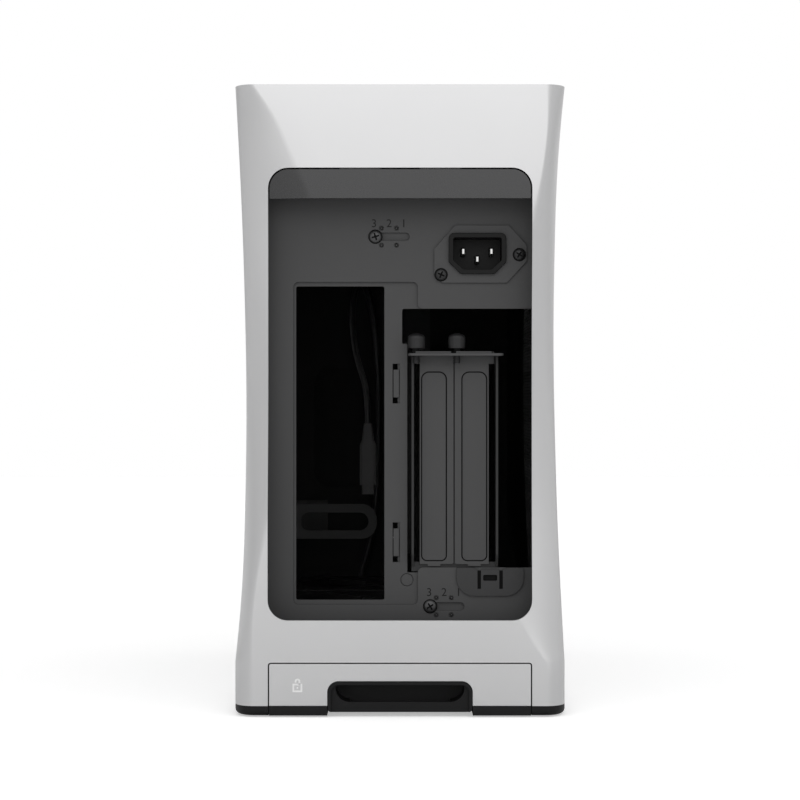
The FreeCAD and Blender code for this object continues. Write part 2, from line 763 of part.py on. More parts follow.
def rubber_feet():
    """Four rubber pads let into the base."""
    pads = []
    for x, y in foot_places():
        pads.append(rod((x, y, 0), (0, 0, 1), FOOT_R, BASE_LOW + FOOT_SINK))
    return Part.makeCompound(pads)


def fan_centres():
    """The two fans, rear then front."""
    return [(0.0, -FAN_Y), (0.0, FAN_Y)]


def fan_holes(centre, z0, length, radius):
    """Four round cutters on the fan bolt pattern."""
    step = FAN_HOLE_STEP / 2
    return [rod((centre[0] + sx * step, centre[1] + sy * step, z0), (0, 0, 1), radius, length)
            for sx in (-1, 1) for sy in (-1, 1)]


def fan_cutters(z0, thick):
    """Openings and screw holes for two fans in a level sheet."""
    cutters = []
    for centre in fan_centres():
        cutters.append(rod((centre[0], centre[1], z0 - PASS), (0, 0, 1), FAN_BORE_R - SHEET, thick + 2 * PASS))
        cutters.extend(fan_holes(centre, z0 - PASS, thick + 2 * PASS, FAN_HOLE_R))
    return cutters


def floor_plate():
    """Steel floor with fan openings, the lead's hole and its two turned-up ends."""
    floor = plate_xy(rect(-FLOOR_HALF, FLOOR_HALF, REAR_BACK, FRONT_Y), [OPENING_R] * 4, FLOOR_Z, SHEET)
    half = REAR_HALF - 2 * OPENING_R
    for y0 in (REAR_BACK, FRONT_Y - SHEET):
        floor = floor.fuse(box(-half, half, y0, y0 + SHEET, FLOOR_Z, FLOOR_TOP + REAR_FLANGE))
    cutters = fan_cutters(FLOOR_Z, SHEET)
    cutters.append(rod((LEAD_ROUTE[0][0], LEAD_ROUTE[0][1], FLOOR_Z - PASS), (0, 0, 1),
                       GROMMET_HOLE_R, SHEET + 2 * PASS))
    return floor.cut(Part.makeCompound(cutters)).removeSplitter()


def stadium_xz(x0, x1, z, radius, y0, thick):
    """Slot with round ends from x0 to x1 (the end centres) at height z."""
    outline = rect(x0 - radius, x1 + radius, z - radius, z + radius)
    return plate_xz(outline, [radius * 2 * ROUND_END] * 4, y0, thick)


def inlet_outline():
    """Outline of the mains inlet: two chamfered corners below."""
    c = INLET_CHAMFER
    return [(INLET_LEFT + c, INLET_LOW), (INLET_RIGHT - c, INLET_LOW), (INLET_RIGHT, INLET_LOW + c),
            (INLET_RIGHT, INLET_TOP), (INLET_LEFT, INLET_TOP), (INLET_LEFT, INLET_LOW + c)]


def shrink(points, amount):
    """Outline moved in by an amount towards its own middle, along each axis."""
    us = [u for u, v in points]
    vs = [v for u, v in points]
    mid_u = (min(us) + max(us)) / 2
    mid_v = (min(vs) + max(vs)) / 2
    scale_u = 1 - 2 * amount / (max(us) - min(us))
    scale_v = 1 - 2 * amount / (max(vs) - min(vs))
    return [(mid_u + (u - mid_u) * scale_u, mid_v + (v - mid_v) * scale_v) for u, v in points]


def rear_panel():
    """Recessed rear wall: stepped cut-out, position slots, dimples, inlet hole, turned edges."""
    panel = box(-REAR_HALF, REAR_HALF, REAR_Y, REAR_BACK, FLOOR_TOP, CHASSIS_TOP)
    panel = panel.fuse(box(-REAR_HALF, REAR_HALF, REAR_Y, REAR_BACK + REAR_FLANGE,
                           CHASSIS_TOP - SHEET, CHASSIS_TOP))
    for sign in (-1, 1):
        edge = sorted((sign * REAR_HALF, sign * (REAR_HALF - SHEET)))
        panel = panel.fuse(box(edge[0], edge[1], REAR_Y, REAR_BACK + REAR_FLANGE, OPENING_LOW, CHASSIS_TOP))
    cut = [(CUT_LEFT, CUT_LOW), (CUT_STEP_X, CUT_LOW), (CUT_STEP_X, CUT_STEP_LOW),
           (CUT_RIGHT, CUT_STEP_LOW), (CUT_RIGHT, CUT_STEP_TOP), (CUT_STEP_X, CUT_STEP_TOP),
           (CUT_STEP_X, CUT_TOP), (CUT_LEFT, CUT_TOP)]
    y0 = REAR_Y - PASS
    thick = SHEET + 2 * PASS
    cutters = [plate_xz(cut, [CUT_R] * len(cut), y0, thick)]
    domes = []
    slot_r = POSITION_R + RUN_GAP
    for x, z in (UPPER_SCREW, LOWER_SCREW):
        cutters.append(stadium_xz(x, x + SPINE_TRAVEL, z, slot_r, y0, thick))
        for share in DIMPLE_SHARES:
            for rise in (-DIMPLE_RISE, DIMPLE_RISE):
                place = (x + share * SPINE_TRAVEL, y0, z + rise)
                groove = rod(place, (0, 1, 0), DIMPLE_R, PASS + DIMPLE_DEEP)
                cutters.append(groove.cut(rod(place, (0, 1, 0), DIMPLE_CORE_R, PASS + DIMPLE_DEEP)))
                middle = Vector(place[0], REAR_Y - DIMPLE_PROUD + DIMPLE_DOME_R, place[2])
                domes.append(Part.makeSphere(DIMPLE_DOME_R, middle))
    body = shrink(inlet_outline(), INLET_RIM / 2 - RUN_GAP)
    cutters.append(plate_xz(body, [INLET_R] * 6, y0, thick))
    for x, z in INLET_SCREWS:
        cutters.append(rod((x, y0, z), (0, 1, 0), INLET_SCREW_R / 2, thick))
    return panel.cut(Part.makeCompound(cutters)).fuse(domes).removeSplitter()


def front_plate():
    """Inner front wall with cable openings, slots for the spine's screws and a turned top."""
    plate = box(-FRONT_HALF, FRONT_HALF, FRONT_Y, FRONT_Y + SHEET, FLOOR_TOP, CHASSIS_TOP)
    plate = plate.fuse(box(-FRONT_HALF, FRONT_HALF, FRONT_Y - REAR_FLANGE, FRONT_Y + SHEET,
                           CHASSIS_TOP - SHEET, CHASSIS_TOP))
    y0 = FRONT_Y - PASS
    thick = SHEET + 2 * PASS
    cutters = []
    slot_end = FRONT_SCREW_X + SPINE_TRAVEL
    for z in FRONT_SCREW_Z:
        cutters.append(stadium_xz(FRONT_SCREW_X, slot_end, z, POSITION_R + RUN_GAP, y0, thick))
    low = FRONT_SCREW_Z[0] + FRONT_WINDOW_EDGE
    high = FRONT_SCREW_Z[1] - FRONT_WINDOW_EDGE
    for x in (-FRONT_WINDOW_X, FRONT_WINDOW_X):
        cutters.append(plate_xz(rect(x - FRONT_WINDOW_HALF, x + FRONT_WINDOW_HALF, low, high),
                                [OPENING_R] * 4, y0, thick))
    return plate.cut(Part.makeCompound(cutters)).removeSplitter()


def top_bracket():
    """Level sheet over the chassis with two fan openings and turned-down sides."""
    sheet = plate_xy(rect(-FRONT_HALF, FRONT_HALF, REAR_Y, FRONT_Y + SHEET), [CUT_R] * 4, CHASSIS_TOP, SHEET)
    for sign in (-1, 1):
        edge = sorted((sign * FRONT_HALF, sign * (FRONT_HALF - SHEET)))
        sheet = sheet.fuse(box(edge[0], edge[1], REAR_BACK + 2 * REAR_FLANGE, FRONT_Y - 2 * REAR_FLANGE,
                               CHASSIS_TOP - REAR_FLANGE, CHASSIS_TOP + SHEET))
    return sheet.cut(Part.makeCompound(fan_cutters(CHASSIS_TOP, SHEET))).removeSplitter()


def psu_bracket():
    """Hung tray for an SFX power supply: window, four screw holes, two turned-up ends."""
    tray = box(PSU_LEFT, PSU_RIGHT, PSU_REAR, PSU_FRONT, PSU_Z, PSU_Z + SHEET)
    tray = tray.fuse(box(PSU_LEFT, PSU_RIGHT, PSU_REAR, PSU_REAR + SHEET, PSU_Z, CHASSIS_TOP))
    tray = tray.fuse(box(PSU_LEFT, PSU_RIGHT, PSU_FRONT - SHEET, PSU_FRONT, PSU_Z, CHASSIS_TOP - SHEET))
    mid_x = (PSU_LEFT + PSU_RIGHT) / 2
    mid_y = (PSU_REAR + PSU_FRONT) / 2
    half_x = PSU_HOLE_X / 2
    half_y = PSU_HOLE_Y / 2
    window = rect(mid_x - half_x + PSU_WINDOW_X, mid_x + half_x - PSU_WINDOW_X,
                  mid_y - half_y + PSU_WINDOW_Y, mid_y + half_y - PSU_WINDOW_Y)
    z0 = PSU_Z - PASS
    thick = SHEET + 2 * PASS
    cutters = [plate_xy(window, [OPENING_R] * 4, z0, thick)]
    for sx in (-1, 1):
        for sy in (-1, 1):
            cutters.append(rod((mid_x + sx * half_x, mid_y + sy * half_y, z0), (0, 0, 1), PSU_HOLE_R, thick))
    return tray.cut(Part.makeCompound(cutters)).removeSplitter()


def cable_bar():
    """Slotted bar with a round end, folded back to the front wall."""
    bar = plate_xz(rect(BAR_LEFT, BAR_RIGHT, BAR_LOW, BAR_TOP), [0, BAR_R, BAR_R, 0], BAR_Y, SHEET)
    slot = rect(BAR_LEFT + BAR_SLOT_START, BAR_RIGHT - BAR_EDGE, BAR_LOW + BAR_EDGE, BAR_TOP - BAR_EDGE)
    slot_r = (BAR_TALL - 2 * BAR_EDGE) * ROUND_END
    bar = bar.cut(plate_xz(slot, [slot_r] * 4, BAR_Y - PASS, SHEET + 2 * PASS))
    bar = bar.fuse(box(BAR_LEFT, BAR_LEFT + SHEET, BAR_Y, FRONT_Y, BAR_LOW, BAR_TOP))
    bar = bar.fuse(box(BAR_LEFT, BAR_LEFT + BAR_TALL, FRONT_Y - SHEET, FRONT_Y, BAR_LOW, BAR_TOP))
    return bar.removeSplitter()


def spine_plate():
    """Folded spine: rear plate with the I/O aperture, long divider and front flange."""
    neck_x = CAGE_LEFT - SPINE_CAGE_GAP
    neck_z = TAB_TOP + SPINE_NECK_RISE
    foot_z = CAGE_LOW - SEAM
    wing_x = CUT_STEP_X + SPINE_WING
    wing_z = CUT_TOP + SPINE_WING_RISE
    ear_x, ear_z = UPPER_SCREW
    rear = [(SPINE_LEFT, SPINE_FOOT_LOW), (SPINE_FOOT_RIGHT, SPINE_FOOT_LOW),
            (SPINE_FOOT_RIGHT, foot_z), (neck_x, foot_z),
            (neck_x, neck_z), (SPINE_TOP_RIGHT, neck_z), (SPINE_TOP_RIGHT, CUT_STEP_TOP),
            (wing_x, CUT_STEP_TOP), (wing_x, wing_z),
            (ear_x + SPINE_EAR, wing_z), (ear_x + SPINE_EAR, ear_z - SPINE_EAR_DROP),
            (ear_x + SPINE_EAR_OUT, ear_z - SPINE_EAR_DROP), (ear_x + SPINE_EAR_OUT, ear_z + SPINE_EAR),
            (ear_x - SPINE_EAR, ear_z + SPINE_EAR), (ear_x - SPINE_EAR, SPINE_TOP),
            (SPINE_LEFT, SPINE_TOP)]
    radii = [CUT_R, CUT_R, CUT_R, 0, SEAM, SEAM, IO_R, CUT_R,
             CUT_R, 0, 0, CUT_R, CUT_R, CUT_R, 0, CUT_R]
    spine = plate_xz(rear, radii, SPINE_REAR, SHEET)
    divider = box(-SHEET, 0, SPINE_REAR, FRONT_Y - RUN_GAP, SPINE_LOW, SPINE_TOP)
    flange_y = FRONT_Y - RUN_GAP - SHEET
    flange = box(-SHEET, SPINE_FLANGE, flange_y, flange_y + SHEET, SPINE_LOW, SPINE_TOP)
    spine = spine.fuse(divider).fuse(flange)
    y0 = SPINE_REAR - PASS
    thick = SHEET + 2 * PASS
    cutters = [plate_xz(rect(IO_LEFT, IO_RIGHT, IO_LOW, IO_TOP), [IO_R] * 4, y0, thick)]
    for x, z in (UPPER_SCREW, LOWER_SCREW):
        cutters.append(rod((x, y0, z), (0, 1, 0), POSITION_R + FIT, thick))
    for z in FRONT_SCREW_Z:
        cutters.append(rod((FRONT_SCREW_X, flange_y - PASS, z), (0, 1, 0), POSITION_R + FIT, thick))
    for z in lance_heights():
        cutters.append(box(LANCE_X - LANCE_HALF, LANCE_X + LANCE_HALF, y0, SPINE_REAR + SHEET,
                           z - LANCE_TALL / 2, z + LANCE_TALL / 2))
    for y in PASS_Y:
        for rise in PASS_RISE:
            low = SPINE_LOW + rise
            cutters.append(plate_yz(rect(y, y + PASS_WIDE, low, low + PASS_TALL), [OPENING_R] * 4,
                                    -SHEET - PASS, thick))
    rivet_z = CAGE_LOW - RIVET_DROP
    groove = rod((RIVET_X, y0, rivet_z), (0, 1, 0), RIVET_R + RIVET_GROOVE, PASS + RIVET_GROOVE_DEEP)
    cutters.append(groove.cut(rod((RIVET_X, y0, rivet_z), (0, 1, 0), RIVET_R, PASS + RIVET_GROOVE_DEEP)))
    spine = spine.cut(Part.makeCompound(cutters))
    strap = LANCE_HALF - LANCE_SLIT
    reach = LANCE_TALL / 2 - LANCE_END
    for z in lance_heights():
        spine = spine.fuse(box(LANCE_X - strap, LANCE_X + strap, SPINE_REAR - RUN_GAP, SPINE_REAR + SHEET,
                               z - reach, z + reach))
        spine = spine.fuse(box(LANCE_X + strap / 2, -SHEET / 2, SPINE_REAR, SPINE_REAR + SHEET,
                               z - reach, z + reach))
    rivet = rod((RIVET_X, SPINE_REAR - RIVET_PROUD, rivet_z), (0, 1, 0), RIVET_R, RIVET_PROUD + FIT)
    return spine.fuse(rivet).removeSplitter()


def lance_heights():
    """Heights of the two lanced straps beside the aperture."""
    return (COVER_LOW + LANCE_RISE, TAB_TOP - LANCE_DROP)


def board_standoffs():
    """Four hexagonal board posts on the spine."""
    high = BOARD_HOLE_LOW + BOARD_HOLE_TALL
    front = BOARD_HOLE_Y + BOARD_HOLE_DEEP
    places = [(BOARD_HOLE_Y, BOARD_HOLE_LOW), (BOARD_HOLE_Y, high),
              (front, high - BOARD_HOLE_SHORT), (front, high)]
    corner_r = STANDOFF_FLAT / math.sqrt(3)
    turns = [math.radians(60 * index) for index in range(6)]
    tip = -SHEET - STANDOFF_LONG
    posts = []
    for y, z in places:
        hexagon = [(y + corner_r * math.cos(turn), z + corner_r * math.sin(turn)) for turn in turns]
        post = plate_yz(hexagon, [0] * len(hexagon), tip, STANDOFF_LONG)
        bore = rod((tip - PASS, y, z), (1, 0, 0), STANDOFF_BORE_R, STANDOFF_LONG - STANDOFF_BLIND + PASS)
        posts.append(post.cut(bore))
    return Part.makeCompound(posts)


def spine_screws():
    """Pan-head screws that lock the spine: two at the rear, two at the front."""
    screws = []
    for x, z in (UPPER_SCREW, LOWER_SCREW):
        head = rod((x, REAR_Y - POSITION_HEAD_H, z), (0, 1, 0), POSITION_HEAD_R, POSITION_HEAD_H)
        shank = rod((x, REAR_Y - FIT, z), (0, 1, 0), POSITION_R, SPINE_REAR - REAR_Y + 2 * SHEET)
        screws.append(head.fuse(shank).removeSplitter())
    for z in FRONT_SCREW_Z:
        face = FRONT_Y + SHEET
        head = rod((FRONT_SCREW_X, face, z), (0, 1, 0), POSITION_HEAD_R, POSITION_HEAD_H)
        shank = rod((FRONT_SCREW_X, face + FIT, z), (0, -1, 0), POSITION_R, 4 * SHEET)
        screws.append(head.fuse(shank).removeSplitter())
    return Part.makeCompound(screws)


def cover_centres():
    """Middles of the two slot covers."""
    return (COVER_FIRST_X, COVER_FIRST_X + SLOT_STEP)


def thumb_centres():
    """Middles of the two thumbscrews."""
    return [x - THUMB_OFF for x in cover_centres()]


def slot_bracket():
    """Folded cage: screw ledge, two side walls, window frame and a foot on the spine."""
    left, right = cover_centres()
    frame = box(CAGE_LEFT, CAGE_RIGHT, CAGE_FACE, CAGE_FACE + SHEET, CAGE_LOW, LEDGE_Z)
    room = EMBOSS_HALF + RUN_GAP
    cutters = []
    for x0, x1 in ((CAGE_LEFT + SHEET, left + room), (right - room, CAGE_RIGHT - SHEET)):
        cutters.append(box(x0, x1, CAGE_FACE - PASS, CAGE_FACE + SHEET + PASS,
                           EMBOSS_LOW - RUN_GAP, TAB_TOP - COVER_TRIM_DROP))
    frame = frame.cut(Part.makeCompound(cutters))
    ledge = plate_xy(rect(CAGE_LEFT - LEDGE_OVER_LEFT, CAGE_RIGHT + LEDGE_OVER_RIGHT,
                          CAGE_FACE - LEDGE_OUT, CAGE_FACE + SHEET), [CUT_R, CUT_R, 0, 0],
                     LEDGE_Z - SHEET, SHEET)
    cage = frame.fuse(ledge)
    sill = CUT_STEP_LOW + SEAM
    back = CAGE_FACE + CAGE_DEEP
    side = [(CAGE_FACE - CAGE_FIN, sill + CAGE_FIN_RISE), (CAGE_FACE - SHEET, sill), (CAGE_FACE, sill),
            (CAGE_FACE, CAGE_LOW), (back, CAGE_LOW), (back, LEDGE_Z), (CAGE_FACE - CAGE_FIN, LEDGE_Z)]
    for x0 in (CAGE_LEFT, CAGE_RIGHT - SHEET):
        cage = cage.fuse(plate_yz(side, [CUT_R, 0, 0, 0, 0, 0, 0], x0, SHEET))
    foot_low = CAGE_LOW + CAGE_FOOT_RISE
    foot_top = LEDGE_Z - CAGE_FOOT_DROP
    cage = cage.fuse(box(0, CAGE_LEFT + SHEET, back - SHEET, back, foot_low, foot_top))
    cage = cage.fuse(box(0, SHEET, back - SHEET, back + CAGE_DEEP, foot_low, foot_top))
    z0 = LEDGE_Z - SHEET - PASS
    tall = SHEET + 2 * PASS
    holes = [box(left - COVER_HALF - FIT, right + COVER_HALF + FIT, COVER_FRONT - FIT, CAGE_FACE,
                 z0, z0 + tall)]
    for x in thumb_centres():
        holes.append(rod((x, THUMB_Y, z0), (0, 0, 1), THUMB_SHANK_R + FIT, tall))
    return cage.cut(Part.makeCompound(holes)).removeSplitter()


def slot_cover(x, trim_side):
    """Pressed cover: strip with a panel pressed in, one edge trimmed, toe below, tab over the ledge."""
    left = x - COVER_HALF
    right = x + COVER_HALF

    def panel_wire(inset, y):
        outline = rect(x - EMBOSS_HALF + inset, x + EMBOSS_HALF - inset, EMBOSS_LOW + inset, EMBOSS_TOP - inset)
        low_r = EMBOSS_LOW_R - inset
        top_r = EMBOSS_TOP_R - inset
        return rounded_wire(outline, [low_r, low_r, top_r, top_r], lambda p: Vector(p.x, y, p.y))

    strip = plate_xz(rect(left, right, COVER_LOW, TAB_TOP), [COVER_R, COVER_R, 0, 0], COVER_FRONT, COVER_THICK)
    floor_y = COVER_FRONT + EMBOSS_DEEP
    pressed = Part.Face(panel_wire(0.0, floor_y)).extrude(Vector(0, COVER_THICK, 0))
    hollow = Part.makeLoft([panel_wire(0.0, COVER_FRONT), panel_wire(EMBOSS_DRAFT, floor_y)], True, True)
    strip = strip.fuse(pressed).cut(hollow)
    trim = sorted((x + trim_side * (COVER_HALF - COVER_TRIM), x + trim_side * (COVER_HALF + PASS)))
    strip = strip.cut(box(trim[0], trim[1], COVER_FRONT - PASS, CAGE_FACE + PASS,
                          COVER_LOW - PASS, TAB_TOP - COVER_TRIM_DROP))
    toe = box(x - EMBOSS_HALF / 2, x + EMBOSS_HALF / 2, COVER_FRONT, CAGE_FACE, CUT_STEP_LOW + SEAM, COVER_LOW)
    tab = plate_xy(rect(left, right - TAB_TRIM, CAGE_FACE - LEDGE_OUT + COVER_THICK, CAGE_FACE),
                   [COVER_R, COVER_R, 0, 0], LEDGE_Z, COVER_THICK)
    shank_x = x - THUMB_OFF
    notch_r = THUMB_SHANK_R + FIT
    notch = rod((shank_x, THUMB_Y, LEDGE_Z - PASS), (0, 0, 1), notch_r, COVER_THICK + 2 * PASS)
    mouth = box(left - PASS, shank_x, THUMB_Y - notch_r, THUMB_Y + notch_r, LEDGE_Z - PASS, TAB_TOP + PASS)
    tab = tab.cut(notch.fuse(mouth))
    return strip.fuse(toe).fuse(tab).removeSplitter()


def slot_cover_inner():
    """Cover next to the spine."""
    return slot_cover(cover_centres()[0], -1)


def slot_cover_outer():
    """Cover away from the spine."""
    return slot_cover(cover_centres()[1], 1)


def slot_thumbscrews():
    """Two domed thumbscrews on the covers' tabs."""
    profile = [(0, -THUMB_SHANK_LONG), (THUMB_SHANK_R, -THUMB_SHANK_LONG), (THUMB_SHANK_R, 0),
               (THUMB_NECK_R, 0), (THUMB_NECK_R, THUMB_NECK), (THUMB_R - THUMB_BEVEL, THUMB_NECK),
               (THUMB_R, THUMB_NECK + THUMB_BEVEL), (THUMB_R, THUMB_H - THUMB_DOME),
               (THUMB_CROWN_R, THUMB_H - RUN_GAP), (0, THUMB_H), (0, -THUMB_SHANK_LONG)]
    screws = []
    for x in thumb_centres():
        outline = Part.makePolygon([Vector(radius, 0, z) for radius, z in profile])
        solid = Part.Face(outline).revolve(Vector(0, 0, 0), Vector(0, 0, 1), 360)
        solid.translate(Vector(x, THUMB_Y, TAB_TOP))
        screws.append(solid)
    return Part.makeCompound(screws)


def ac_inlet_plate():
    """Eight-sided plate round the mains inlet."""
    left = INLET_LEFT - PLATE_LEFT
    right = INLET_RIGHT + PLATE_RIGHT
    low = INLET_LOW - PLATE_LOW
    top = INLET_TOP + PLATE_TOP
    first, second, third, fourth = PLATE_TRIMS
    points = [(left + first[0], low), (right - second[0], low),
              (right, low + second[1]), (right, top - third[1]),
              (right - third[0], top), (left + fourth[0], top),
              (left, top - fourth[1]), (left, low + first[1])]
    plate = plate_xz(points, [INLET_RIM_R] * len(points), INLET_FACE, SHEET)
    y0 = INLET_FACE - PASS
    thick = SHEET + 2 * PASS
    cutters = [plate_xz(shrink(inlet_outline(), INLET_RIM / 2 - RUN_GAP), [INLET_R] * 6, y0, thick)]
    for x, z in INLET_SCREWS:
        cutters.append(rod((x, y0, z), (0, 1, 0), INLET_SCREW_R / 2, thick))
    return plate.cut(Part.makeCompound(cutters))


def ac_inlet():
    """Moulded mains inlet with its socket cavity."""
    rim_r = [INLET_RIM_R, INLET_RIM_R, INLET_RIM_R, INLET_TOP_R, INLET_TOP_R, INLET_RIM_R]
    rim = plate_xz(inlet_outline(), rim_r, INLET_FACE - INLET_PROUD, INLET_PROUD)
    body = plate_xz(shrink(inlet_outline(), INLET_RIM / 2), [INLET_R] * 6, INLET_FACE - FIT, INLET_DEEP)
    cavity = plate_xz(shrink(inlet_outline(), INLET_RIM), [INLET_R] * 6, INLET_FACE - INLET_PROUD - PASS,
                      INLET_CAVITY + PASS)
    slots = [blade(x, z, BLADE_FIT) for x, z in blade_places()]
    return rim.fuse(body).cut(cavity).cut(Part.makeCompound(slots)).removeSplitter()


def blade_places():
    """Middles of the two line contacts and the earth contact."""
    mid = (INLET_LEFT + INLET_RIGHT) / 2
    line_z = INLET_LOW + BLADE_RISE
    return ((mid - BLADE_SPREAD, line_z), (mid, INLET_LOW + EARTH_RISE), (mid + BLADE_SPREAD, line_z))


def blade(x, z, room):
    """One contact blade, larger by room all round."""
    half_x = BLADE_THICK / 2 + room
    half_z = BLADE_TALL / 2 + room
    root = INLET_FACE - INLET_PROUD + INLET_CAVITY + BLADE_ROOT
    return box(x - half_x, x + half_x, REAR_Y - room, root + room, z - half_z, z + half_z)


def ac_inlet_blades():
    """Three plated contact blades."""
    return Part.makeCompound([blade(x, z, 0.0) for x, z in blade_places()])


def inlet_screws():
    """Two pan-head screws that hold the inlet plate."""
    screws = []
    for x, z in INLET_SCREWS:
        head = rod((x, INLET_FACE - POSITION_HEAD_H, z), (0, 1, 0), INLET_SCREW_R, POSITION_HEAD_H)
        shank = rod((x, INLET_FACE - FIT, z), (0, 1, 0), INLET_SCREW_R / 2 - FIT, 3 * SHEET)
        screws.append(head.fuse(shank).removeSplitter())
    return Part.makeCompound(screws)


def slot_foot_clip():
    """Half-moon clip with a sprung tongue and a window."""
    mid = (CLIP_LEFT + CLIP_RIGHT) / 2
    y0 = REAR_Y - CLIP_THICK
    clip = plate_xz(rect(CLIP_LEFT, CLIP_RIGHT, CLIP_LOW, CUT_STEP_LOW), [CLIP_ROUND, CLIP_ROUND, SEAM, SEAM],
                    y0, CLIP_THICK)
    slit_low = CLIP_LOW + CLIP_SLIT_RISE
    cutters = [box(mid - CLIP_DIP_HALF, mid + CLIP_DIP_HALF, y0 - PASS, REAR_Y + PASS,
                   CUT_STEP_LOW - CLIP_DIP, CUT_STEP_LOW + PASS)]
    for x in (mid - CLIP_TONGUE_HALF, mid + CLIP_TONGUE_HALF):
        cutters.append(box(x - CLIP_SLIT / 2, x + CLIP_SLIT / 2, y0 - PASS, REAR_Y + PASS,
                           slit_low, CUT_STEP_LOW + PASS))
    wide, tall = CLIP_WINDOW
    window_low = CLIP_LOW + CLIP_WINDOW_RISE
    cutters.append(plate_xz(rect(mid - wide / 2, mid + wide / 2, window_low, window_low + tall), [SEAM] * 4,
                            y0 - PASS, CLIP_THICK + 2 * PASS))
    return clip.cut(Part.makeCompound(cutters))


def fan_frame(centre):
    """Square fan frame: round bore, waisted middle, four screw holes, motor cup on struts."""
    half = FAN_SIZE / 2
    x, y = centre
    z0 = FLOOR_TOP
    top = z0 + FAN_TALL
    frame = plate_xy(rect(x - half, x + half, y - half, y + half), [FAN_CORNER_R] * 4, z0, FAN_TALL)
    waist_z = z0 + FAN_FLANGE
    waist_tall = FAN_TALL - 2 * FAN_FLANGE
    wide = half + PASS
    outer = box(x - wide, x + wide, y - wide, y + wide, waist_z, waist_z + waist_tall)
    frame = frame.cut(outer.cut(rod((x, y, waist_z), (0, 0, 1), FAN_BORE_R + FAN_SKIN, waist_tall)))
    frame = frame.cut(rod((x, y, z0 - PASS), (0, 0, 1), FAN_BORE_R, FAN_TALL + 2 * PASS))
    cup_z = top - FAN_CUP_TALL
    cup = rod((x, y, cup_z), (0, 0, 1), FAN_HUB_R - SEAM, FAN_CUP_TALL)
    for turn in range(4):
        strut = box(x, x + FAN_BORE_R + FAN_SKIN / 2, y - FAN_STRUT / 2, y + FAN_STRUT / 2,
                    cup_z, top - FAN_CUP_BACK)
        strut.rotate(Vector(x, y, 0), Vector(0, 0, 1), 45 + 90 * turn)
        cup = cup.fuse(strut)
    frame = frame.fuse(cup.cut(rod((x, y, cup_z - PASS), (0, 0, 1), FAN_SHAFT_R + FIT, FAN_CUP_TALL)))
    holes = Part.makeCompound(fan_holes(centre, z0 - PASS, FAN_TALL + 2 * PASS, FAN_HOLE_R))
    return frame.cut(holes).removeSplitter()


def fan_rotor(centre):
    """Hub with its shaft and swept blades."""
    x, y = centre
    top = FLOOR_TOP + FAN_TALL - FAN_CUP_TALL - RUN_GAP
    low = top - FAN_HUB_TALL
    hub = rod((x, y, low), (0, 0, 1), FAN_HUB_R, FAN_HUB_TALL)
    shaft = rod((x, y, top - PASS), (0, 0, 1), FAN_SHAFT_R, FAN_CUP_TALL)
    rotor = hub.fuse(shaft)
    middle = (low + top) / 2
    blades = []
    for index in range(FAN_BLADES):
        root = blade_section(FAN_HUB_R - PASS, *FAN_ROOT, middle)
        tip = blade_section(FAN_TIP_R, *FAN_TIP, middle)
        vane = Part.makeLoft([root, tip], True, True)
        vane.rotate(Vector(0, 0, 0), Vector(0, 0, 1), index * 360 / FAN_BLADES)
        vane.translate(Vector(x, y, 0))
        blades.append(vane)
    return rotor.fuse(blades).removeSplitter()


def blade_section(radius, pitch, chord, sweep, z):
    """Thin section of a fan blade at a radius, tilted by its pitch angle."""
    tilt = math.radians(pitch)
    run = chord / 2 * math.cos(tilt)
    rise = min(chord / 2 * math.sin(tilt), FAN_HUB_TALL / 2 - FAN_BLADE_THICK)
    half = FAN_BLADE_THICK / 2
    corners = [Vector(radius, sweep - run, z - rise - half), Vector(radius, sweep + run, z + rise - half),
               Vector(radius, sweep + run, z + rise + half), Vector(radius, sweep - run, z - rise + half)]
    reach = math.hypot(radius, sweep + run)
    if reach > FAN_TIP_R:
        corners = [Vector(c.x * FAN_TIP_R / reach, c.y, c.z) for c in corners]
    return Part.makePolygon(corners + [corners[0]])


def rear_fan_frame():
    """Frame of the rear fan."""
    return fan_frame(fan_centres()[0])


def front_fan_frame():
    """Frame of the front fan."""
    return fan_frame(fan_centres()[1])


def rear_fan_rotor():
    """Rotor of the rear fan."""
    return fan_rotor(fan_centres()[0])


def front_fan_rotor():
    """Rotor of the front fan."""
    return fan_rotor(fan_centres()[1])


def tray_fascia():
    """Silver front of the filter tray with the cut-out for the handle."""
    fascia = plate_xz(rect(-FASCIA_HALF, FASCIA_HALF, SHELL_FOOT, FASCIA_TOP), [0, 0, FASCIA_R, FASCIA_R],
                      -HALF_D, FASCIA_THICK)
    cut = plate_xz(rect(-HANDLE_HALF, HANDLE_HALF, -FASCIA_TOP, HANDLE_TOP), [0, 0, HANDLE_R, HANDLE_R],
                   -HALF_D - PASS, FASCIA_THICK + 2 * PASS)
    return fascia.cut(cut)


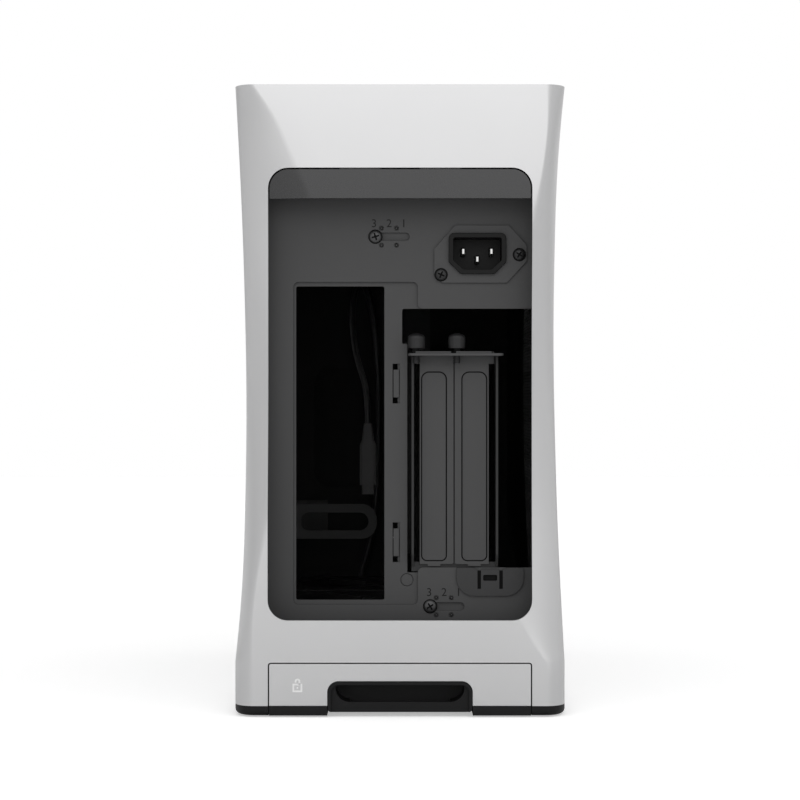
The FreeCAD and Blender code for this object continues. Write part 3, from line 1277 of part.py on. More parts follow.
def tray_handle():
    """Moulded finger pull in the fascia: rounded lip below a scooped recess."""
    half = HANDLE_HALF - 2 * FIT
    top = HANDLE_TOP - 2 * FIT
    block = plate_xz(rect(-half, half, HANDLE_LIP, top), [HANDLE_SKIN, HANDLE_SKIN, HANDLE_R, HANDLE_R],
                     -HALF_D, HANDLE_DEEP)
    rim_r = HANDLE_R - HANDLE_RIM
    face = plate_xz(rect(-half + HANDLE_RIM, half - HANDLE_RIM, HANDLE_LIP - PASS, top - HANDLE_RIM),
                    [0, 0, rim_r, rim_r], -HALF_D - PASS, HANDLE_SET + PASS)
    pocket = plate_xz(rect(-SCOOP_HALF, SCOOP_HALF, SCOOP_LOW, SCOOP_TOP),
                      [SCOOP_R, SCOOP_R, FASCIA_R, FASCIA_R],
                      -HALF_D - PASS, HANDLE_DEEP - HANDLE_SKIN + PASS)
    low_half = SCOOP_HALF - SCOOP_R
    lip_back = HANDLE_SET + FASCIA_THICK
    under = plate_xz(rect(-low_half, low_half, HANDLE_LIP + HANDLE_SKIN, SCOOP_TOP), [FASCIA_R] * 4,
                     -HALF_D + lip_back, HANDLE_DEEP - HANDLE_SKIN - lip_back)
    return block.cut(face).cut(pocket).cut(under)


def tray_frame():
    """Black tray: lower lip, runners, side walls, end wall and cross ribs round the mesh."""
    rear = -HALF_D + FASCIA_THICK
    lip_top = SHELL_FOOT - FIT / 2
    inner = HANDLE_HALF + FIT
    run_low = RUNNER_TOP + RUN_GAP
    window_half, window_rear, window_front = tray_window()
    frame = box(-FASCIA_HALF + SEAM, FASCIA_HALF - SEAM, rear, TRAY_END, run_low, TRAY_TOP)
    keel_half = CHANNEL_HALF - RUNNER_IN - RUN_GAP
    frame = frame.fuse(box(-keel_half, keel_half, rear, TRAY_END, TRAY_LOW, run_low))
    frame = frame.cut(box(-window_half, window_half, window_rear, window_front, 0, TRAY_TOP + PASS))
    frame = frame.cut(box(-inner, inner, rear - PASS, -HALF_D + HANDLE_DEEP + 2 * FIT, 0, TRAY_TOP + PASS))
    back_top = FASCIA_TOP - FASCIA_BACK_DROP
    for sign in (-1, 1):
        ends = sorted((sign * inner, sign * FASCIA_HALF))
        lip_deep = rear + 2 * FASCIA_THICK - RUN_GAP
        frame = frame.fuse(box(ends[0], ends[1], -HALF_D, lip_deep, TRAY_LOW, lip_top))
        frame = frame.fuse(box(ends[0], ends[1], rear, rear + FASCIA_THICK, lip_top - PASS, back_top))
    back_half = FASCIA_HALF - FASCIA_BACK_DROP
    frame = frame.fuse(box(-back_half, back_half, rear, rear + FASCIA_THICK, HANDLE_TOP + FIT, back_top))
    rib_span = (window_front - window_rear) / (TRAY_RIBS + 1)
    for index in range(1, TRAY_RIBS + 1):
        y = window_rear + index * rib_span
        frame = frame.fuse(box(-window_half - PASS, window_half + PASS,
                               y - TRAY_RIB_WIDE / 2, y + TRAY_RIB_WIDE / 2, run_low, TRAY_TOP - MESH_DROP))
    return frame.removeSplitter()


def tray_window():
    """Half width, rear and front of the tray's mesh window."""
    half = CHANNEL_HALF - RUNNER_IN - TRAY_WALL
    return half, -HALF_D + HANDLE_DEEP + 2 * TRAY_WALL, TRAY_END - TRAY_WALL


def filter_mesh():
    """Fine mesh sheet that lies in the tray on its ribs."""
    half, rear, front = tray_window()
    low = TRAY_TOP - MESH_DROP
    return box(-half + FIT, half - FIT, rear + FIT, front - FIT, low, low + MESH_THICK)


def front_io_fascia():
    """Silver front strip with the openings for the button and the sockets."""
    y0 = HALF_D - FASCIA_THICK
    fascia = plate_xz(rect(-FASCIA_HALF, FASCIA_HALF, SHELL_FOOT + FIT, FASCIA_TOP), [0, 0, FASCIA_R, FASCIA_R],
                      y0, FASCIA_THICK)
    thick = FASCIA_THICK + 2 * PASS
    cutters = [rod((BUTTON_X, y0 - PASS, PORT_Z), (0, 1, 0), BUTTON_R + RUN_GAP, thick),
               rod((JACK_X, y0 - PASS, PORT_Z), (0, 1, 0), 2 * JACK_BORE_R + RUN_GAP, thick)]
    for x, (half_x, half_z, radius, tongue) in port_places():
        wide = half_x + RUN_GAP
        tall = half_z + RUN_GAP
        cutters.append(plate_xz(rect(x - wide, x + wide, PORT_Z - tall, PORT_Z + tall), [radius + RUN_GAP] * 4,
                                y0 - PASS, thick))
    return fascia.cut(Part.makeCompound(cutters))


def port_places():
    """Each socket's middle and its sizes."""
    return [(x, USB_A) for x in USB_A_X] + [(USB_C_X, USB_C)]


def socket(x, sizes):
    """Metal socket shell with its tongue, on a foot that stands on the board."""
    half_x, half_z, radius, tongue = sizes
    mouth = HALF_D - SOCKET_SINK
    back = mouth - SOCKET_DEEP
    shell = plate_xz(rect(x - half_x, x + half_x, PORT_Z - half_z, PORT_Z + half_z), [radius] * 4,
                     back, SOCKET_DEEP)
    wide = half_x - SOCKET_WALL
    tall = half_z - SOCKET_WALL
    inner_r = max(radius - SOCKET_WALL, FIT)
    hollow = plate_xz(rect(x - wide, x + wide, PORT_Z - tall, PORT_Z + tall), [inner_r] * 4,
                      back + SOCKET_BACK, SOCKET_DEEP)
    shell = shell.cut(hollow)
    shell = shell.fuse(box(x - wide * 0.8, x + wide * 0.8, back + SOCKET_BACK / 2, mouth - SOCKET_BACK,
                           PORT_Z - tongue / 2, PORT_Z + tongue / 2))
    foot = box(x - wide * 0.8, x + wide * 0.8, back, back + SOCKET_FOOT, BOARD_TOP, PORT_Z - tall)
    return shell.fuse(foot).removeSplitter()


def usb_a_ports():
    """Two wide sockets."""
    return Part.makeCompound([socket(x, USB_A) for x in USB_A_X])


def usb_c_port():
    """One narrow socket with round ends."""
    return socket(USB_C_X, USB_C)


def audio_jack():
    """Round jack barrel on a square body."""
    mouth = HALF_D - JACK_SINK
    back = mouth - JACK_LONG
    body = box(JACK_X - JACK_HALF, JACK_X + JACK_HALF, back, mouth - JACK_BARREL, BOARD_TOP, PORT_Z + JACK_HALF)
    barrel = rod((JACK_X, mouth - JACK_BARREL - PASS, PORT_Z), (0, 1, 0), 2 * JACK_BORE_R, JACK_BARREL + PASS)
    bore = rod((JACK_X, back + PASS, PORT_Z), (0, 1, 0), JACK_BORE_R, JACK_LONG)
    return body.fuse(barrel).cut(bore).removeSplitter()


def io_board():
    """Circuit board behind the front strip, clear of the pressed button."""
    front = HALF_D - FASCIA_THICK - BUTTON_SKIRT - BUTTON_TRAVEL - PASS
    return plate_xy(rect(-BOARD_HALF, BOARD_HALF, BAY_REAR + PASS, front), [BOARD_R] * 4, BOARD_Z, BOARD_THICK)


def power_switch():
    """Switch block behind the power button."""
    tip = HALF_D - BUTTON_LONG - BUTTON_TRAVEL - RUN_GAP
    front = tip - SWITCH_TIP
    body = box(BUTTON_X - SWITCH_HALF, BUTTON_X + SWITCH_HALF, front - SWITCH_LONG, front, BOARD_TOP,
               PORT_Z + SWITCH_HALF)
    plunger = rod((BUTTON_X, front - FIT, PORT_Z), (0, 1, 0), SWITCH_TIP_R, SWITCH_TIP + FIT)
    return body.fuse(plunger).removeSplitter()


def power_button():
    """Round push button with a dished face and a stem."""
    stem_y = HALF_D - BUTTON_LONG
    cap_y = HALF_D - FASCIA_THICK - BUTTON_SKIRT
    cap = rod((BUTTON_X, cap_y, PORT_Z), (0, 1, 0), BUTTON_R, HALF_D - cap_y)
    stem = rod((BUTTON_X, stem_y, PORT_Z), (0, 1, 0), BUTTON_R / 2, cap_y - stem_y + FIT)
    dish = Part.makeSphere(BUTTON_DISH_R, Vector(BUTTON_X, HALF_D + BUTTON_DISH_R - BUTTON_DISH, PORT_Z))
    return cap.fuse(stem).cut(dish).removeSplitter()


def lead_header():
    """Board connector that the front lead leaves."""
    x, y, z = LEAD_ROUTE[0]
    return box(x - HEADER_HALF_X, x + HEADER_HALF_X, y - HEADER_HALF_Y, y + HEADER_HALF_Y, BOARD_TOP, z)


def lead_grommet():
    """Rubber grommet in the floor where the lead passes."""
    x, y = LEAD_ROUTE[0][:2]
    bore_r = LEAD_D / 2 + GROMMET_ROOM
    waist_r = GROMMET_HOLE_R - FIT / 2
    low = -FIT / 2
    high = SHEET + FIT / 2
    profile = [(bore_r, low - GROMMET_LIP), (GROMMET_R, low - GROMMET_LIP), (GROMMET_R, low),
               (waist_r, low), (waist_r, high), (GROMMET_R, high),
               (GROMMET_R, high + GROMMET_LIP), (bore_r, high + GROMMET_LIP), (bore_r, low - GROMMET_LIP)]
    outline = Part.makePolygon([Vector(radius, 0, z) for radius, z in profile])
    ring = Part.Face(outline).revolve(Vector(0, 0, 0), Vector(0, 0, 1), 360)
    ring.translate(Vector(x, y, FLOOR_Z))
    return ring


def front_lead():
    """Lead as straight runs joined by the largest tangent arcs that the runs allow."""
    points = [Vector(*p) for p in LEAD_ROUTE]
    edges = []
    start = points[0]
    for before, here, after in zip(points, points[1:], points[2:]):
        back = before - here
        ahead = after - here
        reach = BEND_SHARE * min(back.Length, ahead.Length)
        back.normalize()
        ahead.normalize()
        half_angle = back.getAngle(ahead) / 2
        radius = reach * math.tan(half_angle)
        inward = back + ahead
        inward.normalize()
        middle = here + inward * (radius / math.sin(half_angle) - radius)
        edges.append(Part.LineSegment(start, here + back * reach).toShape())
        edges.append(Part.Arc(here + back * reach, middle, here + ahead * reach).toShape())
        start = here + ahead * reach
        print("lead bend radius %.1f" % radius)
    edges.append(Part.LineSegment(start, points[-1]).toShape())
    path = Part.Wire(edges)
    along = points[1] - points[0]
    section = Part.Wire(Part.makeCircle(LEAD_D / 2, points[0], along))
    tube = path.makePipeShell([section], True, True)
    expected = math.pi * LEAD_D ** 2 / 4 * path.Length
    print("lead length %.1f, volume %.1f, expected %.1f" % (path.Length, tube.Volume, expected))
    return tube


def lead_connector():
    """Moulded plug at the end of the lead: tapered neck, flat grip, mouth with two slots."""
    x, y, top = LEAD_ROUTE[-1]
    half_x = PLUG_WIDE / 2
    half_y = PLUG_DEEP / 2
    grip_low = top - PLUG_LONG
    grip_top = top - PLUG_NECK
    low = grip_low - PLUG_TIP_LONG

    def outline(share, z):
        wide = half_x * share
        deep = half_y * share
        return rounded_wire(rect(x - wide, x + wide, y - deep, y + deep), [deep / 2] * 4,
                            lambda p: Vector(p.x, p.y, z))

    neck = Part.makeLoft([outline(0.5, top), outline(0.75, grip_top + PLUG_NECK / 4), outline(1.0, grip_top)],
                         True, True)
    grip = Part.Face(outline(1.0, grip_low)).extrude(Vector(0, 0, grip_top - grip_low))
    tip = Part.Face(outline(0.75, low)).extrude(Vector(0, 0, PLUG_TIP_LONG + FIT))
    plug = neck.fuse(grip).fuse(tip)
    slots = []
    for side in (-1, 1):
        mid = x + side * PLUG_SLOT * 0.75
        slots.append(box(mid - PLUG_SLOT / 2, mid + PLUG_SLOT / 2, y - half_y - PASS, y - half_y / 2,
                         low + PASS, grip_low - PASS))
    return plug.cut(Part.makeCompound(slots)).removeSplitter()


PIECES = (
    outer_shell, rear_lip_trim, top_frame, top_panel, top_panel_studs, top_filter,
    base_frame, rubber_feet, floor_plate, rear_panel, front_plate, top_bracket, psu_bracket, cable_bar,
    ac_inlet, ac_inlet_plate, ac_inlet_blades, inlet_screws, slot_foot_clip,
    rear_fan_frame, front_fan_frame, rear_fan_rotor, front_fan_rotor,
    front_io_fascia, io_board, power_switch, power_button, usb_a_ports, usb_c_port, audio_jack,
    lead_header, lead_grommet, front_lead, lead_connector,
    spine_plate, board_standoffs, spine_screws, slot_bracket, slot_cover_inner, slot_cover_outer,
    slot_thumbscrews,
    tray_fascia, tray_frame, tray_handle, filter_mesh,
)


def main():
    """Build each piece and write it under its own name."""
    os.makedirs("parts", exist_ok=True)
    for piece in PIECES:
        shape = piece()
        print("%-18s solids %d volume %.0f valid %s" % (
            piece.__name__, len(shape.Solids), shape.Volume, shape.isValid()))
        shape.exportStep("parts/%s.step" % piece.__name__)


main()
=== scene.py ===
"""Looks of a mini-tower computer case: waisted aluminium shell round a dark steel chassis."""

import sys

import logging
import math
from dataclasses import dataclass
from enum import Enum
from typing import Any, Sequence

import bmesh
import bpy
import numpy as np
from mathutils import Matrix, Vector


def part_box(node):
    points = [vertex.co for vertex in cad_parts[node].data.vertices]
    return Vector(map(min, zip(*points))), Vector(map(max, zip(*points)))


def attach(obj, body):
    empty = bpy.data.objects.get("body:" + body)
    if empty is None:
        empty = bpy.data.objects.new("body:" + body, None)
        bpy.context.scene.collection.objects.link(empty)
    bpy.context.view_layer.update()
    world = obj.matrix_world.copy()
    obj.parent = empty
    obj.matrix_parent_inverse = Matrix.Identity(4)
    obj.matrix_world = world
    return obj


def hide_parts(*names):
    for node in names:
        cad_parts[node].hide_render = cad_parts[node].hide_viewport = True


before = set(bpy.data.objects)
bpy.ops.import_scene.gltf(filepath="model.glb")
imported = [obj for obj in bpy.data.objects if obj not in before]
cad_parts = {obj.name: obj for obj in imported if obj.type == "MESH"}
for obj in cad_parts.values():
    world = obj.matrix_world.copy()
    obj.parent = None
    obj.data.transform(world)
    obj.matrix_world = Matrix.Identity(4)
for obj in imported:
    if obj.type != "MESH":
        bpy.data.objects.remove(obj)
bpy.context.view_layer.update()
MM = 0.001
Pair = tuple[float, float]
Point = tuple[float, float, float]
Mesh = bpy.types.Mesh
Piece = bpy.types.Object
Shape = bmesh.types.BMesh
log = logging.getLogger("case")


class Value:
    """One output socket of a node tree, used like a number."""

    def __init__(self, tree: "Tree", socket: bpy.types.NodeSocket | None) -> None:
        """Keeps the socket and the tree that it belongs to."""
        self.tree = tree
        self.socket = socket

    def math(self, operation: str, other: Any = 0.0, swap: bool = False) -> "Value":
        """Adds one Math node.

        Args:
            operation: the node's operation.
            other: the second operand, a number or a Value.
            swap: whether the operands change places.

        Returns:
            The node's result.
        """
        first, second = (other, self) if swap else (self, other)
        return self.tree.add("ShaderNodeMath", {"operation": operation}, {0: first, 1: second})

    def __add__(self, other: Any) -> "Value":
        """Sum."""
        return self.math("ADD", other)

    __radd__ = __add__

    def __sub__(self, other: Any) -> "Value":
        """Difference."""
        return self.math("SUBTRACT", other)

    def __rsub__(self, other: Any) -> "Value":
        """Difference with the operands in turn."""
        return self.math("SUBTRACT", other, swap=True)

    def __mul__(self, other: Any) -> "Value":
        """Product."""
        return self.math("MULTIPLY", other)

    __rmul__ = __mul__

    def __truediv__(self, other: Any) -> "Value":
        """Quotient."""
        return self.math("DIVIDE", other)

    def __rtruediv__(self, other: Any) -> "Value":
        """Quotient with the operands in turn."""
        return self.math("DIVIDE", other, swap=True)

    def __pow__(self, other: Any) -> "Value":
        """Power."""
        return self.math("POWER", other)

    def __gt__(self, other: Any) -> "Value":
        """One where the value is greater, else zero."""
        return self.math("GREATER_THAN", other)

    def __lt__(self, other: Any) -> "Value":
        """One where the value is less, else zero."""
        return self.math("LESS_THAN", other)

    def sin(self) -> "Value":
        """Sine of an angle in radians."""
        return self.math("SINE")

    def cos(self) -> "Value":
        """Cosine of an angle in radians."""
        return self.math("COSINE")

    def size(self) -> "Value":
        """Value without its sign."""
        return self.math("ABSOLUTE")

    def floor_at(self, low: float) -> "Value":
        """Value, or low where it is less."""
        return self.math("MAXIMUM", low)


class Tree:
    """A node tree that is built by expressions."""

    def __init__(self, tree: bpy.types.NodeTree) -> None:
        """Keeps the tree."""
        self.tree = tree

    @staticmethod
    def find(sockets: Any, key: int | str) -> bpy.types.NodeSocket:
        """Finds a socket.

        Args:
            sockets: a node's inputs or outputs.
            key: place, identifier or name of the socket.

        Returns:
            The socket that is in use under that key.
        """
        if isinstance(key, int):
            return sockets[key]
        return next(s for s in sockets if s.enabled and key in (s.identifier, s.name))

    def feed(self, socket: bpy.types.NodeSocket, value: Any) -> None:
        """Links Values to a socket, or sets its value.

        Args:
            socket: the input.
            value: a Value, a list of Values for a multiple input, or a constant.
        """
        for item in reversed(value) if isinstance(value, list) else [value]:
            if isinstance(item, Value):
                self.tree.links.new(item.socket, socket)
            else:
                socket.default_value = item

    def add(
        self,
        kind: str,
        settings: dict[str, Any] | None = None,
        inputs: dict[int | str, Any] | None = None,
        output: int | str = 0,
    ) -> Value:
        """Adds any node.

        Args:
            kind: the node's type.
            settings: attributes of the node, set first.
            inputs: values or links by place, identifier or name.
            output: the output that is returned.

        Returns:
            That output.
        """
        node = self.tree.nodes.new(kind)
        for key, value in (settings or {}).items():
            setattr(node, key, value)
        for key, value in (inputs or {}).items():
            self.feed(self.find(node.inputs, key), value)
        return Value(self, self.find(node.outputs, output) if node.outputs else None)

    def split(self, vector: Value) -> tuple[Value, Value, Value]:
        """Parts of a vector."""
        x = self.add("ShaderNodeSeparateXYZ", inputs={0: vector})
        outputs = x.socket.node.outputs
        return x, Value(self, outputs[1]), Value(self, outputs[2])

    def join(self, x: Any, y: Any, z: Any) -> Value:
        """Vector of three numbers or Values."""
        return self.add("ShaderNodeCombineXYZ", inputs={0: x, 1: y, 2: z})

    def noise(self, at: Value, pitch: float, detail: float = 2.0) -> Value:
        """Noise of about that pitch in millimetres."""
        inputs = {"Vector": at, "Scale": 1.0 / (pitch * MM), "Detail": detail}
        return self.add("ShaderNodeTexNoise", inputs=inputs)

    def tint(self, share: Value, low: Sequence[float], high: Sequence[float]) -> Value:
        """Colour between low and high."""
        return self.add(
            "ShaderNodeMix",
            {"data_type": "RGBA"},
            {"Factor_Float": share, "A_Color": (*low, 1.0), "B_Color": (*high, 1.0)},
            "Result_Color",
        )

    def here(self) -> tuple[Value, Value, Value]:
        """Coordinates of the point in hand."""
        return self.split(self.add("GeometryNodeInputPosition"))

    def drum(self, corners: Any, radius: Value, tall: Value, side: int = 1, fill: int = 1) -> Value:
        """Closed cylinder about the origin.

        Args:
            corners: number of points round it.
            radius: its radius.
            tall: its height.
            side: segments along its height.
            fill: rings on its ends.

        Returns:
            The cylinder's mesh.
        """
        inputs = {"Vertices": corners, "Side Segments": side, "Fill Segments": fill}
        inputs |= {"Radius": radius, "Depth": tall}
        return self.add("GeometryNodeMeshCylinder", {"fill_type": "NGON"}, inputs, "Mesh")

    def moved(self, geometry: Value, x: Any, y: Any, z: Any) -> Value:
        """Geometry moved by three distances."""
        shift = self.join(x, y, z)
        return self.add("GeometryNodeTransform", inputs={"Geometry": geometry, "Translation": shift})

    def reshaped(self, geometry: Value, x: Any, y: Any, z: Any) -> Value:
        """Geometry with its points at new places."""
        spot = self.join(x, y, z)
        return self.add("GeometryNodeSetPosition", inputs={"Geometry": geometry, "Position": spot})

    def joined(self, *parts: Value) -> Value:
        """Several geometries in one."""
        return self.add("GeometryNodeJoinGeometry", inputs={"Geometry": list(parts)})

    def laid(self, points: Value, part: Value, **more: Value) -> Value:
        """A part on every point, with more inputs of that node."""
        return self.add("GeometryNodeInstanceOnPoints", inputs={"Points": points, "Instance": part, **more})


class Grain(Enum):
    """Kinds of surface relief."""

    BLAST = "fine blasted pits"
    PEEL = "soft peel of powder coat"
    SPARK = "eroded mould texture"
    TURNED = "fine turning lines"
    WEAVE = "plain weave of fine threads"
    PRINT = "thin layer of ink"


# Pitch of a finish's broad patches in millimetres and the fine grain's share of its mottle
PATCH_PITCH = 45.0
FINE_SHARE = 0.6
# Sway of the roughness and strength of the relief
SWAY = 0.08
BUMP = 0.6
# Stretch of turning lines, share of the coarse peel and pitch of the fine peel
DRAWN = 0.05
PEEL_SHARE = 0.7
PEEL_FINE = 0.3


@dataclass(frozen=True)
class Finish:
    """Finish of a surface, with sizes in millimetres; a few finishes are painted shade and painted light, not
    a colour of their own.
    """

    name: str
    slot: str
    colour: Point
    roughness: float
    grain: Grain
    metallic: float = 0.0
    pitch: float = 0.5
    relief: float = 0.02
    mottle: float = 0.08
    specular: float = 0.5

    def height(self, tree: Tree, at: Value) -> Value:
        """Relief of the surface.

        Args:
            tree: the material's tree.
            at: object coordinates.

        Returns:
            Height from 0 to about 1.
        """
        if self.grain is Grain.WEAVE:
            x, y, _ = tree.split(at)
            turn = math.pi / (self.pitch * MM)
            warp = (x * turn).sin().size()
            weft = (y * turn).sin().size()
            return warp.math("MAXIMUM", weft)
        if self.grain is Grain.TURNED:
            x, y, z = tree.split(at)
            return tree.noise(tree.join(x * DRAWN, y * DRAWN, z), self.pitch, 1.0)
        if self.grain is Grain.PEEL:
            coarse = tree.noise(at, self.pitch, 1.0)
            fine = tree.noise(at, self.pitch * PEEL_FINE, 1.0)
            return coarse * PEEL_SHARE + fine * (1.0 - PEEL_SHARE)
        return tree.noise(at, self.pitch, 3.0)

    def material(self) -> bpy.types.Material:
        """Builds the material once.

        Returns:
            The node material of this finish.
        """
        made = bpy.data.materials.get(self.name)
        if made:
            return made
        made = bpy.data.materials.new(self.name)
        made.use_nodes = True
        made.diffuse_color = (*self.colour, 1.0)
        tree = Tree(made.node_tree)
        shader = made.node_tree.nodes["Principled BSDF"]
        at = tree.add("ShaderNodeTexCoord", output="Object")
        fine = self.height(tree, at)
        broad = tree.noise(at, PATCH_PITCH)
        low = [c * (1.0 - self.mottle) for c in self.colour]
        high = [min(1.0, c * (1.0 + self.mottle)) for c in self.colour]
        mottle = fine * FINE_SHARE + broad * (1.0 - FINE_SHARE)
        tree.feed(shader.inputs["Base Color"], tree.tint(mottle, low, high))
        tree.feed(shader.inputs["Roughness"], self.roughness + (fine - 0.5) * SWAY + (broad - 0.5) * SWAY)
        shader.inputs["Metallic"].default_value = self.metallic
        shader.inputs["Specular IOR Level"].default_value = self.specular
        relief = {"Strength": BUMP, "Distance": self.relief * MM, "Height": fine}
        tree.feed(shader.inputs["Normal"], tree.add("ShaderNodeBump", inputs=relief, output="Normal"))
        return made


ALUMINIUM = Finish("blasted_aluminium", "anodised_aluminium", (0.72, 0.72, 0.725), 0.36, Grain.BLAST,
                   metallic=1.0, pitch=0.3, relief=0.006, mottle=0.02)
COAT = Finish("dark_powder_coat", "coated_steel", (0.073, 0.073, 0.074), 0.55, Grain.PEEL,
              pitch=0.7, relief=0.025, mottle=0.06, specular=0.35)
# Black coat of the shell's inside and the inner brackets; on the slot cage's rails under the ledge it is
# painted shade
DARK_COAT_AND_SHADE = Finish("black_coat_and_painted_shade", "coated_steel", (0.045, 0.045, 0.0455), 0.6, Grain.PEEL,
                    pitch=0.7, relief=0.025, specular=0.2)
# Near-black painted shade for the walls of grooves, slots, dimples and cut-outs, where shade falls
PAINTED_SHADE = Finish("painted_groove_shade", "coated_steel", (0.008, 0.008, 0.008), 0.65, Grain.PEEL,
                pitch=0.7, relief=0.025, specular=0.1)
# Lighter copy of the steel coat for the cable bar: painted light, so that the bar shows in the dim inside
LIT_BAR = Finish("painted_light_bar", "coated_steel", (0.14, 0.14, 0.14), 0.55, Grain.PEEL,
             pitch=0.7, relief=0.025, specular=0.35)
TRIM = Finish("satin_trim", "trim_plastic", (0.082, 0.082, 0.083), 0.28, Grain.SPARK,
              metallic=0.85, pitch=0.4, relief=0.006)
CLIP = Finish("grey_clip", "trim_plastic", (0.045, 0.045, 0.046), 0.5, Grain.SPARK,
              pitch=0.4, relief=0.01, specular=0.35)
BASE = Finish("black_base", "base_plastic", (0.01, 0.01, 0.0105), 0.5, Grain.SPARK,
              pitch=0.5, relief=0.015, specular=0.2)
# Lighter copy of the black base: painted light in the handle's hollow scoop
SCOOP_LIGHT = Finish("painted_scoop_light", "base_plastic", (0.02, 0.02, 0.0205), 0.5, Grain.SPARK,
               pitch=0.5, relief=0.015, specular=0.2)
FAN = Finish("black_fan", "fan_plastic", (0.016, 0.016, 0.0165), 0.32, Grain.SPARK,
             pitch=0.6, relief=0.01, specular=0.6)
PLUG = Finish("grey_plug", "inlet_plastic", (0.15, 0.15, 0.15), 0.45, Grain.SPARK, pitch=0.4, relief=0.008)
INLET = Finish("black_inlet", "inlet_plastic", (0.006, 0.006, 0.006), 0.4, Grain.SPARK,
               pitch=0.4, relief=0.008, specular=0.2)
SCREW = Finish("black_oxide", "black_screw", (0.085, 0.085, 0.087), 0.4, Grain.TURNED,
               metallic=0.6, pitch=0.2, relief=0.006)
DARK_SCREW = Finish("blued_steel", "black_screw", (0.035, 0.035, 0.036), 0.4, Grain.TURNED,
                    metallic=0.6, pitch=0.2, relief=0.006)
# Near-black: painted shade in the screws' cross recesses, and the colour of the washer ring under each head
RECESS_SHADE_AND_WASHER = Finish("recess_shade_and_washer", "black_screw", (0.006, 0.006, 0.006), 0.7, Grain.TURNED,
                pitch=0.2, relief=0.004, specular=0.1)
PLATED = Finish("bright_plate", "plated_metal", (0.78, 0.78, 0.77), 0.22, Grain.TURNED,
                metallic=1.0, pitch=0.3, relief=0.003, mottle=0.03)
LAMINATE = Finish("black_mask", "board_laminate", (0.01, 0.02, 0.014), 0.35, Grain.PEEL,
                  pitch=1.2, relief=0.01, mottle=0.25)
RUBBER = Finish("black_rubber", "black_rubber", (0.014, 0.014, 0.014), 0.7, Grain.SPARK,
                pitch=0.6, relief=0.03, mottle=0.15, specular=0.3)
JACKET = Finish("lead_jacket", "black_rubber", (0.06, 0.06, 0.06), 0.3, Grain.SPARK,
                pitch=0.5, relief=0.01, mottle=0.1)
CLOTH = Finish("nylon_mesh", "filter_cloth", (0.024, 0.024, 0.025), 0.65, Grain.WEAVE,
               pitch=0.8, relief=0.12, mottle=0.6)
DARK_INK = Finish("dark_ink", "coated_steel", (0.012, 0.012, 0.012), 0.6, Grain.PRINT,
                  pitch=0.3, relief=0.004, specular=0.2)
PALE_INK = Finish("pale_ink", "anodised_aluminium", (0.98, 0.98, 0.98), 0.6, Grain.PRINT,
                  pitch=0.3, relief=0.004, mottle=0.02)


def metres(*lengths: float) -> tuple[float, ...]:
    """Lengths of millimetres in metres."""
    return tuple(length * MM for length in lengths)


def put(name: str, data: bpy.types.ID) -> Piece:
    """Puts data into the scene as an object."""
    thing = bpy.data.objects.new(name, data)
    bpy.context.scene.collection.objects.link(thing)
    return thing


def baked(bench: Piece) -> Mesh:
    """Mesh that an object's modifiers give; the object goes."""
    view = bpy.context.evaluated_depsgraph_get()
    result = bpy.data.meshes.new_from_object(bench.evaluated_get(view))
    bpy.data.objects.remove(bench)
    return result


def place(name: str, mesh: Mesh, finish: Finish, body: str) -> Piece:
    """Makes a piece of a finished mesh.

    Args:
        name: the piece's name.
        mesh: its mesh, in metres and in place.
        finish: its finish.
        body: the body that carries it.

    Returns:
        The piece.
    """
    if finish.name not in mesh.materials:
        mesh.materials.clear()
        mesh.materials.append(finish.material())
    piece = put(name, mesh)
    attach(piece, body)
    return piece


def mark_sharp(shape: Shape, degrees: float) -> None:
    """Shades the faces smooth, apart from edges over that angle."""
    limit = math.radians(degrees)
    for face in shape.faces:
        face.smooth = True
    for edge in shape.edges:
        if len(edge.link_faces) == 2 and edge.calc_face_angle(0.0) > limit:
            edge.smooth = False


def sharpen(mesh: Mesh, degrees: float) -> None:
    """Shades a mesh smooth, apart from edges over that angle."""
    shape = bmesh.new()
    shape.from_mesh(mesh)
    mark_sharp(shape, degrees)
    shape.to_mesh(mesh)
    shape.free()


def two_finishes(mesh: Mesh, first: Finish, second: Finish, chosen: np.ndarray) -> None:
    """Gives a mesh two finishes.

    Args:
        mesh: the mesh.
        first: finish of most faces.
        second: finish of the chosen faces.
        chosen: truth value for each face.
    """
    mesh.materials.clear()
    for finish in (first, second):
        mesh.materials.append(finish.material())
    mesh.polygons.foreach_set("material_index", chosen.astype(np.int32))
    mesh.update()


def read_faces(mesh: Mesh, key: str) -> np.ndarray:
    """Vector property of every face, one row each."""
    values = np.empty(len(mesh.polygons) * 3, dtype=np.float32)
    mesh.polygons.foreach_get(key, values)
    return values.reshape(-1, 3)


def to_mesh(shape: Shape, name: str) -> Mesh:
    """Turns a shape into a mesh and frees it."""
    mesh = bpy.data.meshes.new(name)
    shape.to_mesh(mesh)
    shape.free()
    return mesh


def apply(mesh: Mesh, *steps: tuple[str, dict[str, Any]]) -> Mesh:
    """Runs modifiers on a mesh.

    Args:
        mesh: the mesh to start from.
        steps: each modifier's type and its settings.

    Returns:
        The mesh that they give.
    """
    bench = put("bench", mesh)
    for kind, settings in steps:
        modifier = bench.modifiers.new(kind, kind)
        for key, value in settings.items():
            setattr(modifier, key, value)
    return baked(bench)


def rounded(mesh: Mesh, edge: float, degrees: float = 32.0) -> Mesh:
    """Breaks the edges of a mesh with a small radius in millimetres."""
    bevel = {
        "width": edge * MM,
        "segments": 2,
        "limit_method": "ANGLE",
        "angle_limit": math.radians(degrees),
        "use_clamp_overlap": True,
        "miter_outer": "MITER_ARC",
    }
    return apply(mesh, ("BEVEL", bevel), ("WEIGHTED_NORMAL", {"keep_sharp": True, "weight": 60}))


# Copies of CAD nodes: distance of merged points in metres, flat and sharp angles in degrees
MERGED = 2e-6
FLAT = 0.6
SHARP = 60.0


